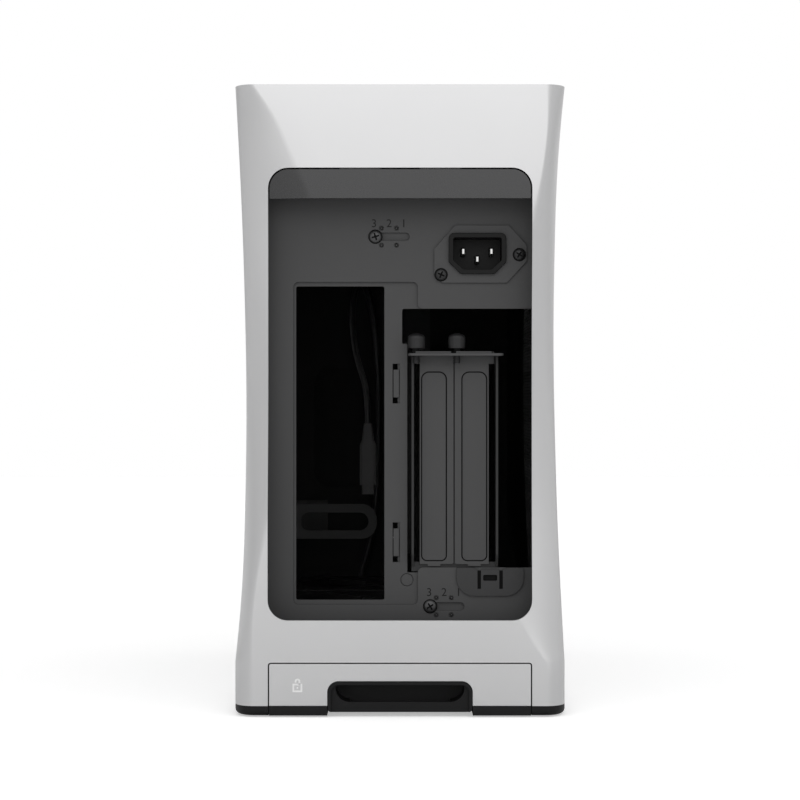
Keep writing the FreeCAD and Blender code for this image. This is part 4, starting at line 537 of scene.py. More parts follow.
def copy_node(node: str) -> Shape:
    """Merged copy of a CAD node's faces."""
    shape = bmesh.new()
    shape.from_mesh(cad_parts[node].data)
    bmesh.ops.remove_doubles(shape, verts=shape.verts[:], dist=MERGED)
    bmesh.ops.dissolve_limit(
        shape, angle_limit=math.radians(FLAT), verts=shape.verts[:], edges=shape.edges[:], delimit={"NORMAL"}
    )
    mark_sharp(shape, SHARP)
    return shape


def prism(outline: Sequence[Pair], near: float, far: float) -> Shape:
    """Solid of an outline in X and Z.

    Args:
        outline: points in millimetres, counter-clockwise as seen from the rear.
        near: Y of the face towards the rear.
        far: Y of the other face.

    Returns:
        The closed shape.
    """
    shape = bmesh.new()
    rear = [shape.verts.new(metres(x, near, z)) for x, z in outline]
    front = [shape.verts.new(metres(x, far, z)) for x, z in outline]
    shape.faces.new(rear)
    shape.faces.new(front[::-1])
    for i, vertex in enumerate(rear):
        j = (i + 1) % len(rear)
        shape.faces.new((rear[j], vertex, front[i], front[j]))
    bmesh.ops.recalc_face_normals(shape, faces=shape.faces[:])
    return shape


def round_box(half: float, low: float, high: float, radius: float, steps: int = 10) -> list[Pair]:
    """Rounded rectangle about X = 0.

    Args:
        half: half of its width.
        low: lower edge.
        high: upper edge.
        radius: corner radius.
        steps: segments of each corner.

    Returns:
        Its points, counter-clockwise.
    """
    points = []
    corners = ((half, low, -90), (half, high, 0), (-half, high, 90), (-half, low, 180))
    for x, z, start in corners:
        cx = x - math.copysign(radius, x)
        cz = z + radius if z == low else z - radius
        for i in range(steps + 1):
            angle = math.radians(start + 90.0 * i / steps)
            points.append((cx + radius * math.cos(angle), cz + radius * math.sin(angle)))
    return points


class NodeTool:
    """A geometry node tree with named inputs: lengths, whole numbers and a finish."""

    def __init__(self, name: str, lengths: Sequence[str], counts: Sequence[str]) -> None:
        """Makes the tree's interface.

        Args:
            name: name of the tree.
            lengths: inputs that are lengths.
            counts: inputs that are whole numbers.
        """
        self.group = bpy.data.node_groups.new(name, "GeometryNodeTree")
        self.lengths = lengths
        self.sockets = {}
        kinds = {"Geometry": "NodeSocketGeometry", "Finish": "NodeSocketMaterial"}
        kinds |= dict.fromkeys(lengths, "NodeSocketFloat")
        kinds |= dict.fromkeys(counts, "NodeSocketInt")
        face = self.group.interface
        for key, kind in kinds.items():
            self.sockets[key] = face.new_socket(key, in_out="INPUT", socket_type=kind).identifier
        face.new_socket("Geometry", in_out="OUTPUT", socket_type="NodeSocketGeometry")
        self.tree = Tree(self.group)
        self.source = self.group.nodes.new("NodeGroupInput")

    def __getitem__(self, key: str) -> Value:
        """Value of a named input."""
        return Value(self.tree, Tree.find(self.source.outputs, key))

    def end(self, geometry: Value, weld: float = 0.0) -> None:
        """Realizes, sets the material and closes the tree.

        Args:
            geometry: what the tree has made.
            weld: distance in millimetres at which points are merged.
        """
        solid = self.tree.add("GeometryNodeRealizeInstances", inputs={"Geometry": geometry})
        if weld:
            solid = self.tree.add(
                "GeometryNodeMergeByDistance", inputs={"Geometry": solid, "Distance": weld * MM}
            )
        finish = {"Geometry": solid, "Material": self["Finish"]}
        dressed = self.tree.add("GeometryNodeSetMaterial", inputs=finish)
        self.tree.add("NodeGroupOutput", inputs={"Geometry": dressed})

    def run(self, mesh: Mesh, finish: Finish, **values: Any) -> Mesh:
        """Runs the tree on a mesh.

        Args:
            mesh: the geometry that goes in.
            finish: finish of the result.
            values: named inputs, with underscores for spaces and lengths in millimetres.

        Returns:
            A plain mesh.
        """
        bench = put("bench", mesh)
        modifier = bench.modifiers.new("nodes", "NODES")
        modifier.node_group = self.group
        for key, value in values.items():
            name = key.replace("_", " ")
            modifier[self.sockets[name]] = value * MM if name in self.lengths else value
        modifier[self.sockets["Finish"]] = finish.material()
        return baked(bench)


# Cosine to the Y axis under which a face takes its coat's second finish, the painted shade of side walls
FACING = 0.86


@dataclass(frozen=True)
class Coat:
    """How a CAD node is dressed: its finish, the radius of its edges in millimetres and a second finish.

    The second finish is for faces that don't look to the rear or the front, or for all faces under a height
    or ahead of a depth. It is painted shade on walls, in grooves and under a ledge, and painted light in the
    handle's scoop.
    """

    node: str
    finish: Finish
    edge: float = 0.3
    shade: Finish | None = None
    under: float | None = None
    ahead: float | None = None

    def shaded(self, mesh: Mesh) -> np.ndarray:
        """Truth value for each face that takes the second finish, which is painted shade, and in the scoop
        painted light.
        """
        middles = read_faces(mesh, "center") / MM
        if self.under is not None:
            return middles[:, 2] < self.under
        if self.ahead is not None:
            return middles[:, 1] > self.ahead
        return np.abs(read_faces(mesh, "normal")[:, 1]) < FACING


@dataclass
class Assembly:
    """A body with the pieces that it carries."""

    body: str
    coats: tuple[Coat, ...] = ()

    def dress(self, coat: Coat) -> Piece:
        """Replaces a CAD node by a copy with broken edges.

        Args:
            coat: node, finish and edge radius.

        Returns:
            The dressed piece.
        """
        mesh = rounded(to_mesh(copy_node(coat.node), coat.node), coat.edge)
        if coat.shade:
            two_finishes(mesh, coat.finish, coat.shade, coat.shaded(mesh))
        piece = place("dressed_" + coat.node, mesh, coat.finish, self.body)
        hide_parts(coat.node)
        return piece

    def extra(self) -> list[Piece]:
        """Pieces that aren't copies of CAD nodes."""
        return []

    def build(self) -> None:
        """Builds and reports every piece of the body."""
        for piece in [self.dress(coat) for coat in self.coats] + self.extra():
            log.info("%s on %s: %d faces", piece.name, self.body, len(piece.data.polygons))


def spline(xs: Sequence[float], ys: Sequence[float], x: float) -> float:
    """Natural cubic spline.

    Args:
        xs: rising stations.
        ys: values there.
        x: place to read.

    Returns:
        The value at x.
    """
    n = len(xs)
    h = np.diff(xs)
    matrix = np.eye(n)
    right = np.zeros(n)
    for i in range(1, n - 1):
        matrix[i, i - 1 : i + 2] = (h[i - 1], 2 * (h[i - 1] + h[i]), h[i])
        right[i] = 6 * ((ys[i + 1] - ys[i]) / h[i] - (ys[i] - ys[i - 1]) / h[i - 1])
    bend = np.linalg.solve(matrix, right)
    i = min(max(int(np.searchsorted(xs, x)) - 1, 0), n - 2)
    a = (xs[i + 1] - x) / h[i]
    b = (x - xs[i]) / h[i]
    curve = ((a**3 - a) * bend[i] + (b**3 - b) * bend[i + 1]) * h[i] ** 2 / 6
    return float(a * ys[i] + b * ys[i + 1] + curve)


@dataclass
class Shell(Assembly):
    """Waisted outer shell with swept corners and perforated sides, sizes in millimetres.

    The law gives a corner's reach across the end and along the side at shares of the height, and the pull is
    that of its curve's handles. Points, parts and steps divide the sections, angles are in degrees, and
    inward is the cosine that marks the inner faces of a sheet. The cutters stand clear of both ends.
    """

    body: str = "shell"
    coats: tuple[Coat, ...] = (Coat("rear_lip_trim", TRIM, 0.3), Coat("top_frame", COAT, 0.3))
    half_width: float = 82.5
    half_depth: float = 183.0
    foot: float = 5.6
    band: float = 26.8
    top: float = 314.0
    waist: float = 4.8
    wall: float = 2.5
    pull: float = 0.5523
    crease_start: float = 10.0
    crease_rate: float = 0.19
    law: tuple[Point, ...] = (
        (0.00, 10.0, 15.0), (0.06, 8.5, 30.0), (0.12, 9.0, 40.0), (0.25, 15.0, 37.0), (0.38, 24.0, 31.0),
        (0.50, 32.0, 25.0), (0.62, 38.0, 18.0), (0.75, 40.0, 14.0), (0.88, 27.5, 12.0), (0.94, 20.5, 12.5),
        (1.00, 10.0, 15.0),
    )
    opening: tuple[float, float, float, float] = (65.7, 48.0, 272.7, 10.0)
    notch: tuple[float, float, float] = (65.6, 27.1, 1.5)
    columns: int = 82
    rows: int = 66
    pitch: Pair = (3.1, 3.6)
    hole: float = 1.0
    sheet_low: float = 50.4
    sheet_side: float = 70.0
    inward: float = -0.5
    weld: float = 0.02
    corner_points: int = 15
    strip_parts: int = 2
    sheet_parts: int = 14
    end_parts: int = 9
    level_steps: tuple[int, ...] = (3, 8, 50, 10)
    crisp: float = 40.0
    least_crease: float = 1.5
    edge: float = 0.35
    edge_angle: float = 50.0
    clear: float = 7.0
    opening_deep: float = 27.0
    notch_deep: float = 15.0
    notch_low: float = -20.0
    notch_steps: int = 4

    def half_at(self, z: float) -> float:
        """Half width of the shell at a height."""
        return self.half_width - self.waist * (1 - (2 * self.share(z) - 1) ** 2)

    def share(self, z: float) -> float:
        """Height as a share of the waisted part."""
        return max(0.0, (z - self.band) / (self.top - self.band))

    def sheet(self) -> Point:
        """Half length, lower edge and upper edge of a perforated sheet."""
        return self.columns * self.pitch[0] / 2, self.sheet_low, self.sheet_low + self.rows * self.pitch[1]

    def reach(self, share: float) -> Pair:
        """Reach of a swept corner across the end face and along the side."""
        stations = [row[0] for row in self.law]
        return tuple(spline(stations, [row[i] for row in self.law], share) for i in (1, 2))

    def corner(self, z: float, inset: float, right: int, front: int) -> list[Pair]:
        """One corner of a section, from the end face to the side.

        Args:
            z: height of the section.
            inset: distance inside the outer face.
            right: 1 or -1 for the side.
            front: 1 or -1 for the end.

        Returns:
            Points of the corner.
        """
        share = self.share(z)
        across, along = self.reach(share if right == front else 1 - share)
        crease = self.crease_rate * max(0.0, across - self.crease_start)
        w = self.half_at(z) - inset
        d = self.half_depth - inset
        start = np.array((w - (across - inset), d))
        tip = np.array((w, d - crease))
        stop = np.array((w, d - (along - inset)))
        first = start + (tip - start) * self.pull
        second = stop + (tip - stop) * self.pull
        points = []
        for t in np.linspace(0, 1, self.corner_points):
            u = 1 - t
            p = start * u**3 + 3 * first * t * u**2 + 3 * second * t**2 * u + stop * t**3
            points.append((right * p[0], front * p[1]))
        return points

    def ring(self, z: float, inset: float) -> list[Pair]:
        """Section of the shell.

        Args:
            z: height of the section.
            inset: distance inside the outer face.

        Returns:
            Points in X and Y, counter-clockwise from above.
        """
        reach = self.sheet()[0]
        rear_right = self.corner(z, inset, 1, -1)
        front_right = self.corner(z, inset, 1, 1)[::-1]
        front_left = self.corner(z, inset, -1, 1)
        rear_left = self.corner(z, inset, -1, -1)[::-1]

        def run(a: Pair, b: Pair, parts: int) -> list[Pair]:
            """Points between two ends of a straight run."""
            start, way = np.array(a), np.array(b) - np.array(a)
            return [tuple(start + way * i / parts) for i in range(1, parts)]

        def side(a: Pair, b: Pair) -> list[Pair]:
            """Points of a straight side, with the ends of the perforated sheet."""
            first = (a[0], math.copysign(reach, a[1]))
            last = (a[0], math.copysign(reach, b[1]))
            points = run(a, first, self.strip_parts) + [first] + run(first, last, self.sheet_parts)
            return points + [last] + run(last, b, self.strip_parts)

        points = rear_right + side(rear_right[-1], front_right[0]) + front_right
        points += run(front_right[-1], front_left[0], self.end_parts) + front_left
        points += side(front_left[-1], rear_left[0]) + rear_left
        return points + run(rear_left[-1], rear_right[0], self.end_parts)

    def levels(self) -> list[float]:
        """Heights of the sections."""
        _, sheet_low, sheet_top = self.sheet()
        bounds = (self.foot, self.band, sheet_low, sheet_top, self.top)
        heights = [self.foot]
        for low, high, steps in zip(bounds, bounds[1:], self.level_steps):
            heights += list(np.linspace(low, high, steps + 1)[1:])
        return heights

    def skin(self) -> Mesh:
        """Walls of the shell with their cut-outs, without the perforated sheets."""
        shape = bmesh.new()
        rings = []
        for inset in (0.0, self.wall):
            stack = []
            for z in self.levels():
                stack.append([shape.verts.new(metres(x, y, z)) for x, y in self.ring(z, inset)])
            rings.append(stack)
        outer, inner = rings
        count = len(outer[0])
        for stack, flip in ((outer, False), (inner, True)):
            for low, high in zip(stack, stack[1:]):
                for i in range(count):
                    j = (i + 1) % count
                    quad = (low[i], low[j], high[j], high[i])
                    shape.faces.new(quad[::-1] if flip else quad).material_index = int(flip)
        for i in range(count):
            j = (i + 1) % count
            shape.faces.new((outer[-1][i], outer[-1][j], inner[-1][j], inner[-1][i]))
            shape.faces.new((outer[0][j], outer[0][i], inner[0][i], inner[0][j]))
        mark_sharp(shape, self.crisp)
        self.mark_creases(shape, outer)
        mesh = to_mesh(shape, "skin")
        for finish in (ALUMINIUM, DARK_COAT_AND_SHADE):
            mesh.materials.append(finish.material())
        mesh = rounded(self.cut(mesh), self.edge, self.edge_angle)
        return self.without_sheets(mesh)

    def mark_creases(self, shape: Shape, stack: list[list[bmesh.types.BMVert]]) -> None:
        """Keeps a crisp line where a swept corner leaves the end face."""
        corner = self.corner_points
        side = 2 * self.strip_parts + self.sheet_parts - 1
        end = self.end_parts - 1
        starts = (0, 2 * corner + side - 1, 2 * corner + side + end, 4 * corner + 2 * side + end - 1)
        for low, high in zip(stack, stack[1:]):
            for i in starts:
                edge = shape.edges.get((low[i], high[i]))
                if edge and edge.calc_face_angle(0.0) > math.radians(self.least_crease):
                    edge.smooth = False

    def cut(self, mesh: Mesh) -> Mesh:
        """Cuts the rear opening and the two notches at the foot."""
        half, low, high, radius = self.opening
        notch_half, notch_top, notch_radius = self.notch
        end = self.half_depth + self.clear
        notch = round_box(notch_half, self.notch_low, notch_top, notch_radius, self.notch_steps)
        tools = (
            (round_box(half, low, high, radius), -end, -end + self.opening_deep),
            (notch, -end, -end + self.notch_deep),
            (notch, end - self.notch_deep, end),
        )
        cutters = [put("cutter", to_mesh(prism(*tool), "cutter")) for tool in tools]
        how = {"operation": "DIFFERENCE", "solver": "EXACT"}
        result = apply(mesh, *[("BOOLEAN", {"object": cutter, **how}) for cutter in cutters])
        for cutter in cutters:
            bpy.data.objects.remove(cutter)
        return result

    def without_sheets(self, mesh: Mesh) -> Mesh:
        """Takes out the wall where the perforated sheets go."""
        reach, low, high = self.sheet()
        shape = bmesh.new()
        shape.from_mesh(mesh)
        inside = []
        for face in shape.faces:
            x, y, z = face.calc_center_median() / MM
            if abs(x) > self.sheet_side and abs(y) < reach and low < z < high:
                inside.append(face)
        bmesh.ops.delete(shape, geom=inside, context="FACES")
        shape.to_mesh(mesh)
        shape.free()
        return mesh

    def cell(self) -> Mesh:
        """One cell of the perforated sheet: a hexagonal hole in a rectangle."""
        wide, tall = (p / 2 * MM for p in self.pitch)
        frame_points = ((wide, 0), (wide, tall), (-wide, tall), (-wide, 0), (-wide, -tall), (wide, -tall))
        radius = self.hole * MM
        turns = [2 * math.pi * i / len(frame_points) for i in range(len(frame_points))]
        hole_points = [(radius * math.cos(turn), radius * math.sin(turn)) for turn in turns]
        shape = bmesh.new()
        layers = []
        for z in (0.0, -self.wall * MM):
            loops = (frame_points, hole_points)
            layers.append([[shape.verts.new((x, y, z)) for x, y in loop] for loop in loops])
        (rim, hole), (back_rim, back_hole) = layers
        for i in range(len(rim)):
            j = (i + 1) % len(rim)
            shape.faces.new((rim[i], rim[j], hole[j], hole[i]))
            shape.faces.new((back_rim[j], back_rim[i], back_hole[i], back_hole[j]))
            shape.faces.new((hole[i], hole[j], back_hole[j], back_hole[i]))
        return to_mesh(shape, "cell")

    def sheet_tool(self) -> NodeTool:
        """Node tree that lays cells in staggered columns and bends them to the waist."""
        lengths = ("Pitch along", "Pitch up", "Low edge", "Wall", "Band", "Top", "Half width", "Waist")
        tool = NodeTool("perforated_sheet", lengths, ("Side", "Columns", "Rows"))
        tree = tool.tree
        along, up, rows, side = tool["Pitch along"], tool["Pitch up"], tool["Rows"], tool["Side"]
        pairs = tool["Columns"] / 2

        def grid(wide: Value, tall: Value, columns: Any, count: Any) -> Value:
            """Flat grid about the origin."""
            inputs = {"Size X": wide, "Size Y": tall, "Vertices X": columns, "Vertices Y": count}
            return tree.add("GeometryNodeMeshGrid", inputs=inputs)

        def lattice(count: Any, tall: Value, shift: Value) -> Value:
            """Points of every second column."""
            return tree.moved(grid((pairs - 1) * along * 2, tall, pairs, count), shift, rows * up / 2, 0.0)

        even = lattice(rows, (rows - 1) * up, along * -0.5)
        odd = lattice(rows - 1, (rows - 2) * up, along * 0.5)
        ends = lattice(2, rows * up - up / 2, along * 0.5)
        front = grid(along, up / 2, 2, 2)
        flipped = tree.add("GeometryNodeFlipFaces", inputs={"Mesh": front})
        blank = tree.joined(front, tree.moved(flipped, 0.0, 0.0, 0 - tool["Wall"]))
        cell = tool["Geometry"]
        flat = tree.joined(tree.laid(even, cell), tree.laid(odd, cell), tree.laid(ends, blank))
        solid = tree.add("GeometryNodeRealizeInstances", inputs={"Geometry": flat})
        x, y, z = tree.here()
        height = y + tool["Low edge"]
        share = (height - tool["Band"]) / (tool["Top"] - tool["Band"])
        half = tool["Half width"] - tool["Waist"] * (1 - (share * 2 - 1) ** 2)
        tool.end(tree.reshaped(solid, (half + z) * side, x * side, height), self.weld)
        return tool

    def extra(self) -> list[Piece]:
        """Skin and the two perforated sheets."""
        skin = place("shell_skin", self.skin(), ALUMINIUM, self.body)
        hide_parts("outer_shell")
        pieces = [skin]
        tool = self.sheet_tool()
        for name, side in (("side_sheet_left", -1), ("side_sheet_right", 1)):
            mesh = tool.run(
                self.cell(), ALUMINIUM, Side=side, Columns=self.columns, Rows=self.rows,
                Pitch_along=self.pitch[0], Pitch_up=self.pitch[1], Low_edge=self.sheet_low, Wall=self.wall,
                Band=self.band, Top=self.top, Half_width=self.half_width, Waist=self.waist,
            )
            sharpen(mesh, self.crisp)
            inner = read_faces(mesh, "normal")[:, 0] * side < self.inward
            two_finishes(mesh, ALUMINIUM, DARK_COAT_AND_SHADE, inner)
            pieces.append(place(name, mesh, ALUMINIUM, self.body))
        return pieces


@dataclass
class TopPanel(Assembly):
    """Slotted top panel with its filter."""

    body: str = "top_panel"
    coats: tuple[Coat, ...] = (
        Coat("top_panel", ALUMINIUM, 0.4), Coat("top_panel_studs", PLATED, 0.25),
        Coat("top_filter", CLOTH, 0.2),
    )


@dataclass(frozen=True)
class Seat:
    """Where a fastener's head sits, in millimetres, and the way that it faces along Y."""

    at: Point
    facing: int = -1


@dataclass
class Fasteners:
    """Pan-head screws with a cross recess, sizes in millimetres.

    Recess, washer, taper, fall and sink are shares of the head's radius or height. The turn is between two
    angles in radians. The dark zones bound the recess, which is painted shade, and the near-black washer by
    shares and by heights over the seat.
    """

    name: str
    body: str
    node: str
    seats: tuple[Seat, ...]
    radius: float
    head: float
    shank: Pair
    seed: int
    finish: Finish = SCREW
    recess: Pair = (1.05, 0.26)
    washer: Pair = (1.16, 0.14)
    taper: float = 0.16
    fall: float = 0.25
    sink: float = 0.95
    turn: Pair = (0.1, 1.4)
    sharp: float = 38.0
    dark_recess: Point = (0.62, 0.1, 0.06)
    dark_washer: tuple[float, float, float, float] = (0.5, 1.3, -0.05, 0.16)

    def tool(self) -> NodeTool:
        """Node tree that makes one screw and sets it on every seat."""
        lengths = ("Radius", "Head", "Shank radius", "Shank long")
        tool = NodeTool("cross_screw", lengths, ("Seed",))
        tree = tool.tree
        radius, head, shank = tool["Radius"], tool["Head"], tool["Shank long"]
        drum = tree.drum(32, radius, head, side=5, fill=4)
        x, y, z = tree.here()
        share = (x * x + y * y) ** 0.5 / radius
        up = (z + head / 2) / head
        narrow = 1 - up**3 * self.taper
        crown = tree.reshaped(
            drum, x * narrow, y * narrow, z + head / 2 - share**2 * up * head * self.fall
        )
        arms = []
        for along, across in (self.recess, self.recess[::-1]):
            size = tree.join(radius * along, radius * across, head)
            arm = tree.add("GeometryNodeMeshCube", inputs={"Size": size}, output="Mesh")
            arms.append(tree.moved(arm, 0.0, 0.0, head * self.sink))
        how = {"operation": "DIFFERENCE", "solver": "EXACT"}
        slotted = tree.add("GeometryNodeMeshBoolean", how, {"Mesh 1": crown, "Mesh 2": arms}, "Mesh")
        stem = tree.moved(tree.drum(20, tool["Shank radius"], shank, side=2), 0.0, 0.0, shank * -0.5)
        wide, thick = self.washer
        washer = tree.moved(tree.drum(40, radius * wide, head * thick), 0.0, 0.0, head * (thick / 2))
        screw = tree.joined(slotted, stem, washer)
        span = {"Min": self.turn[0], "Max": self.turn[1], "Seed": tool["Seed"]}
        kind = {"data_type": "FLOAT"}
        turn = tree.add("FunctionNodeRandomValue", kind, span, "Value")
        facing = tree.add("GeometryNodeInputNamedAttribute", kind, {"Name": "facing"}, "Attribute")
        way = tree.join(facing * -math.pi / 2, turn, 0.0)
        tool.end(tree.laid(tool["Geometry"], screw, Rotation=way))
        return tool

    def build(self) -> None:
        """Makes the screws and puts them in the place of their CAD node."""
        mesh = bpy.data.meshes.new("seats")
        mesh.from_pydata([Vector(seat.at) * MM for seat in self.seats], [], [])
        facing = mesh.attributes.new("facing", "FLOAT", "POINT")
        for item, seat in zip(facing.data, self.seats):
            item.value = float(seat.facing)
        result = self.tool().run(
            mesh, self.finish, Radius=self.radius, Head=self.head, Shank_radius=self.shank[0],
            Shank_long=self.shank[1], Seed=self.seed,
        )
        sharpen(result, self.sharp)
        # The cross recess takes painted shade; the washer ring gets the same near-black
        two_finishes(result, self.finish, RECESS_SHADE_AND_WASHER, self.shaded(result))
        piece = place(self.name, result, self.finish, self.body)
        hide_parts(self.node)
        log.info("%s on %s: %d screws", self.name, self.body, len(self.seats))

    def shaded(self, mesh: Mesh) -> np.ndarray:
        """Faces of the cross recess, which are painted shade, and of the near-black washer under the head."""
        middles = read_faces(mesh, "center") / MM
        chosen = np.zeros(len(middles), dtype=bool)
        recess, floor, under = self.dark_recess
        inner, outer, low, high = self.dark_washer
        for seat in self.seats:
            away = middles - np.array(seat.at)
            rise = away[:, 1] * seat.facing
            share = np.hypot(away[:, 0], away[:, 2]) / self.radius
            crown = self.head * (1 - share**2 * self.fall)
            sunk = (share < recess) & (rise > floor) & (rise < crown - under)
            rim = (share > inner) & (share < outer) & (rise > low) & (rise < self.head * high)
            chosen |= sunk | rim
        return chosen


@dataclass
class RearWall(Assembly):
    """Recessed rear wall with its numbered positions, sizes in millimetres.

    A digit's height is a share of its type size, and a share of the ink stands off the wall. The patch of
    painted shade behind the clip's tongue is given by its half width, foot and top over the clip's foot.
    """

    body: str = "chassis"
    coats: tuple[Coat, ...] = (
        # Walls of the panel's slots, dimples and cut-outs, and of the clip's slots, take painted shade
        Coat("rear_panel", COAT, 0.2, PAINTED_SHADE), Coat("slot_foot_clip", CLIP, 0.35, PAINTED_SHADE),
        Coat("front_plate", DARK_COAT_AND_SHADE, 0.2), Coat("top_bracket", DARK_COAT_AND_SHADE, 0.2),
        # The cable bar's lighter coat is painted light
        Coat("psu_bracket", DARK_COAT_AND_SHADE, 0.2), Coat("cable_bar", LIT_BAR, 0.2),
        Coat("floor_plate", COAT, 0.2),
    )
    face: float = -161.0
    digits: tuple[tuple[str, float, float], ...] = (
        ("3", -13.1, 246.5), ("2", -5.5, 246.5), ("1", 1.9, 246.5), ("3", 14.7, 60.6), ("2", 22.2, 60.6),
        ("1", 29.5, 60.6),
    )
    digit_tall: float = 4.0
    digit_share: float = 0.69
    ink_share: float = 0.8
    ink: float = 0.02
    shade_patch: tuple[float, float, float] = (6.6, 3.6, 12.8)

    def clip_shade_patch(self) -> Piece:
        """Thin near-black patch on the wall behind the clip's tongue: painted shade seen through its slots.
        """
        low, high = (np.array(corner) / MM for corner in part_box("slot_foot_clip"))
        middle = (low[0] + high[0]) / 2
        half, foot, top = self.shade_patch
        x0, x1, z0, z1 = middle - half, middle + half, low[2] + foot, low[2] + top
        shape = prism(((x0, z0), (x1, z0), (x1, z1), (x0, z1)), self.face - self.ink, self.face)
        return place("clip_shade_patch", to_mesh(shape, "clip_shade_patch"), PAINTED_SHADE, self.body)

    def extra(self) -> list[Piece]:
        """Numbers of the spine's positions and the patch of painted shade behind the clip."""
        shape = bmesh.new()
        for text, x, z in self.digits:
            curve = bpy.data.curves.new("digit", "FONT")
            curve.body = text
            curve.size = self.digit_tall / self.digit_share * MM
            curve.align_x = "CENTER"
            curve.extrude = self.ink * MM
            bench = bpy.data.objects.new("digit", curve)
            mesh = bpy.data.meshes.new_from_object(bench)
            turn = Matrix.Rotation(math.pi / 2, 4, "X")
            at = Vector((x, self.face - self.ink * self.ink_share, z - self.digit_tall / 2)) * MM
            mesh.transform(Matrix.Translation(at) @ turn)
            shape.from_mesh(mesh)
            bpy.data.objects.remove(bench)
            bpy.data.meshes.remove(mesh)
        numbers = place("position_numbers", to_mesh(shape, "position_numbers"), DARK_INK, self.body)
        return [numbers, self.clip_shade_patch()]


@dataclass
class Spine(Assembly):
    """Sliding spine with the slot cage."""

    body: str = "spine"
    coats: tuple[Coat, ...] = (
        Coat("spine_plate", COAT, 0.2), Coat("board_standoffs", PLATED, 0.25),
        # The cage's rails under the ledge and the covers' groove walls take painted shade
        Coat("slot_bracket", COAT, 0.2, DARK_COAT_AND_SHADE, under=178.0),
        Coat("slot_cover_inner", COAT, 0.25, PAINTED_SHADE), Coat("slot_cover_outer", COAT, 0.25, PAINTED_SHADE),
    )


@dataclass
class Thumbscrews:
    """Knurled thumbscrews on the slot ledge, sizes in millimetres.

    The knurl's ends, the chamfer's start and depth and the lid are shares of the head's height or radius. The
    thread has a pitch and a depth as a share of the shank's radius.
    """

    body: str = "spine"
    node: str = "slot_thumbscrews"
    places: tuple[Pair, ...] = ((8.2, -166.45), (28.52, -166.45))
    seat: float = 181.8
    radius: float = 4.3
    neck: float = 1.6
    body_tall: float = 6.1
    dome: float = 1.5
    shank: float = 1.75
    shank_long: float = 6.0
    ribs: int = 36
    rib_deep: float = 0.12
    rib_points: int = 4
    knurl: Pair = (0.06, 0.93)
    chamfer: Pair = (0.95, 0.05)
    lid: float = 0.999
    thread: Pair = (0.7, 0.04)
    sharp: float = 38.0

    def tool(self) -> NodeTool:
        """Node tree of one thumbscrew, set on every place."""
        lengths = ("Radius", "Neck", "Tall", "Dome", "Shank radius", "Shank long", "Rib deep")
        tool = NodeTool("thumbscrew", lengths, ("Ribs",))
        tree = tool.tree
        radius, tall, neck, ribs = tool["Radius"], tool["Tall"], tool["Neck"], tool["Ribs"]
        drum = tree.drum(ribs * self.rib_points, radius, tall, side=12, fill=7)
        x, y, z = tree.here()
        share = (x * x + y * y) ** 0.5 / radius
        up = (z + tall / 2) / tall
        rib = (y.math("ARCTAN2", x) * ribs).cos() * 0.5 + 0.5
        middle = (up > self.knurl[0]) * (up < self.knurl[1])
        start, deep = self.chamfer
        swell = 1 - (1 - rib * middle) * tool["Rib deep"] / radius - (up > start) * (share > start) * deep
        dome = tool["Dome"] * (1 - share**2) * (up > self.lid)
        head = tree.reshaped(drum, x * swell, y * swell, z + tall / 2 + neck + dome)
        rod_long = tool["Shank long"] + neck
        rod = tree.drum(24, tool["Shank radius"], rod_long, side=22)
        x, y, z = tree.here()
        pitch, cut = self.thread
        turns = ((z / (pitch * MM)) * 2 * math.pi).cos() * cut + (1 - cut)
        stem = tree.reshaped(rod, x * turns, y * turns, z + neck - rod_long / 2)
        tool.end(tree.laid(tool["Geometry"], tree.joined(head, stem)))
        return tool

    def build(self) -> None:
        """Makes the thumbscrews in the place of their CAD node."""
        mesh = bpy.data.meshes.new("places")
        mesh.from_pydata([Vector((x, y, self.seat)) * MM for x, y in self.places], [], [])
        result = self.tool().run(
            mesh, DARK_SCREW, Radius=self.radius, Neck=self.neck, Tall=self.body_tall, Dome=self.dome,
            Shank_radius=self.shank, Shank_long=self.shank_long, Ribs=self.ribs, Rib_deep=self.rib_deep,
        )
        sharpen(result, self.sharp)
        piece = place("knurled_thumbscrews", result, DARK_SCREW, self.body)
        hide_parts(self.node)
        log.info("%s on %s: %d screws", piece.name, self.body, len(self.places))


@dataclass
class MainsInlet(Assembly):
    """Mains inlet with its plate and contacts, sizes in millimetres."""

    body: str = "chassis"
    # The plate's side walls take painted shade
    coats: tuple[Coat, ...] = (Coat("ac_inlet", INLET, 0.25), Coat("ac_inlet_plate", COAT, 0.2, PAINTED_SHADE))
    blades: tuple[Pair, ...] = ((31.9, 232.3), (39.0, 228.4), (46.1, 232.3))
    blade: Pair = (2.0, 4.0)
    tip: Pair = (1.1, 2.5)
    front: float = -161.0
    back: float = -145.2
    taper: float = 1.4
    edge: float = 0.12
    edge_angle: float = 20.0

    def extra(self) -> list[Piece]:
        """Contact blades with tapered tips."""
        shape = bmesh.new()
        corners = ((-0.5, -0.5), (0.5, -0.5), (0.5, 0.5), (-0.5, 0.5))
        sections = ((self.tip, self.front), (self.blade, self.front + self.taper), (self.blade, self.back))
        for x, z in self.blades:
            loops = []
            for (wide, tall), y in sections:
                points = [metres(x + a * wide, y, z + b * tall) for a, b in corners]
                loops.append([shape.verts.new(point) for point in points])
            shape.faces.new(loops[0])
            shape.faces.new(loops[-1][::-1])
            for near, far in zip(loops, loops[1:]):
                for i in range(4):
                    shape.faces.new((near[(i + 1) % 4], near[i], far[i], far[(i + 1) % 4]))
        bmesh.ops.recalc_face_normals(shape, faces=shape.faces[:])
        mesh = rounded(to_mesh(shape, "contact_blades"), self.edge, self.edge_angle)
        piece = place("contact_blades", mesh, PLATED, self.body)
        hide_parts("ac_inlet_blades")
        return [piece]


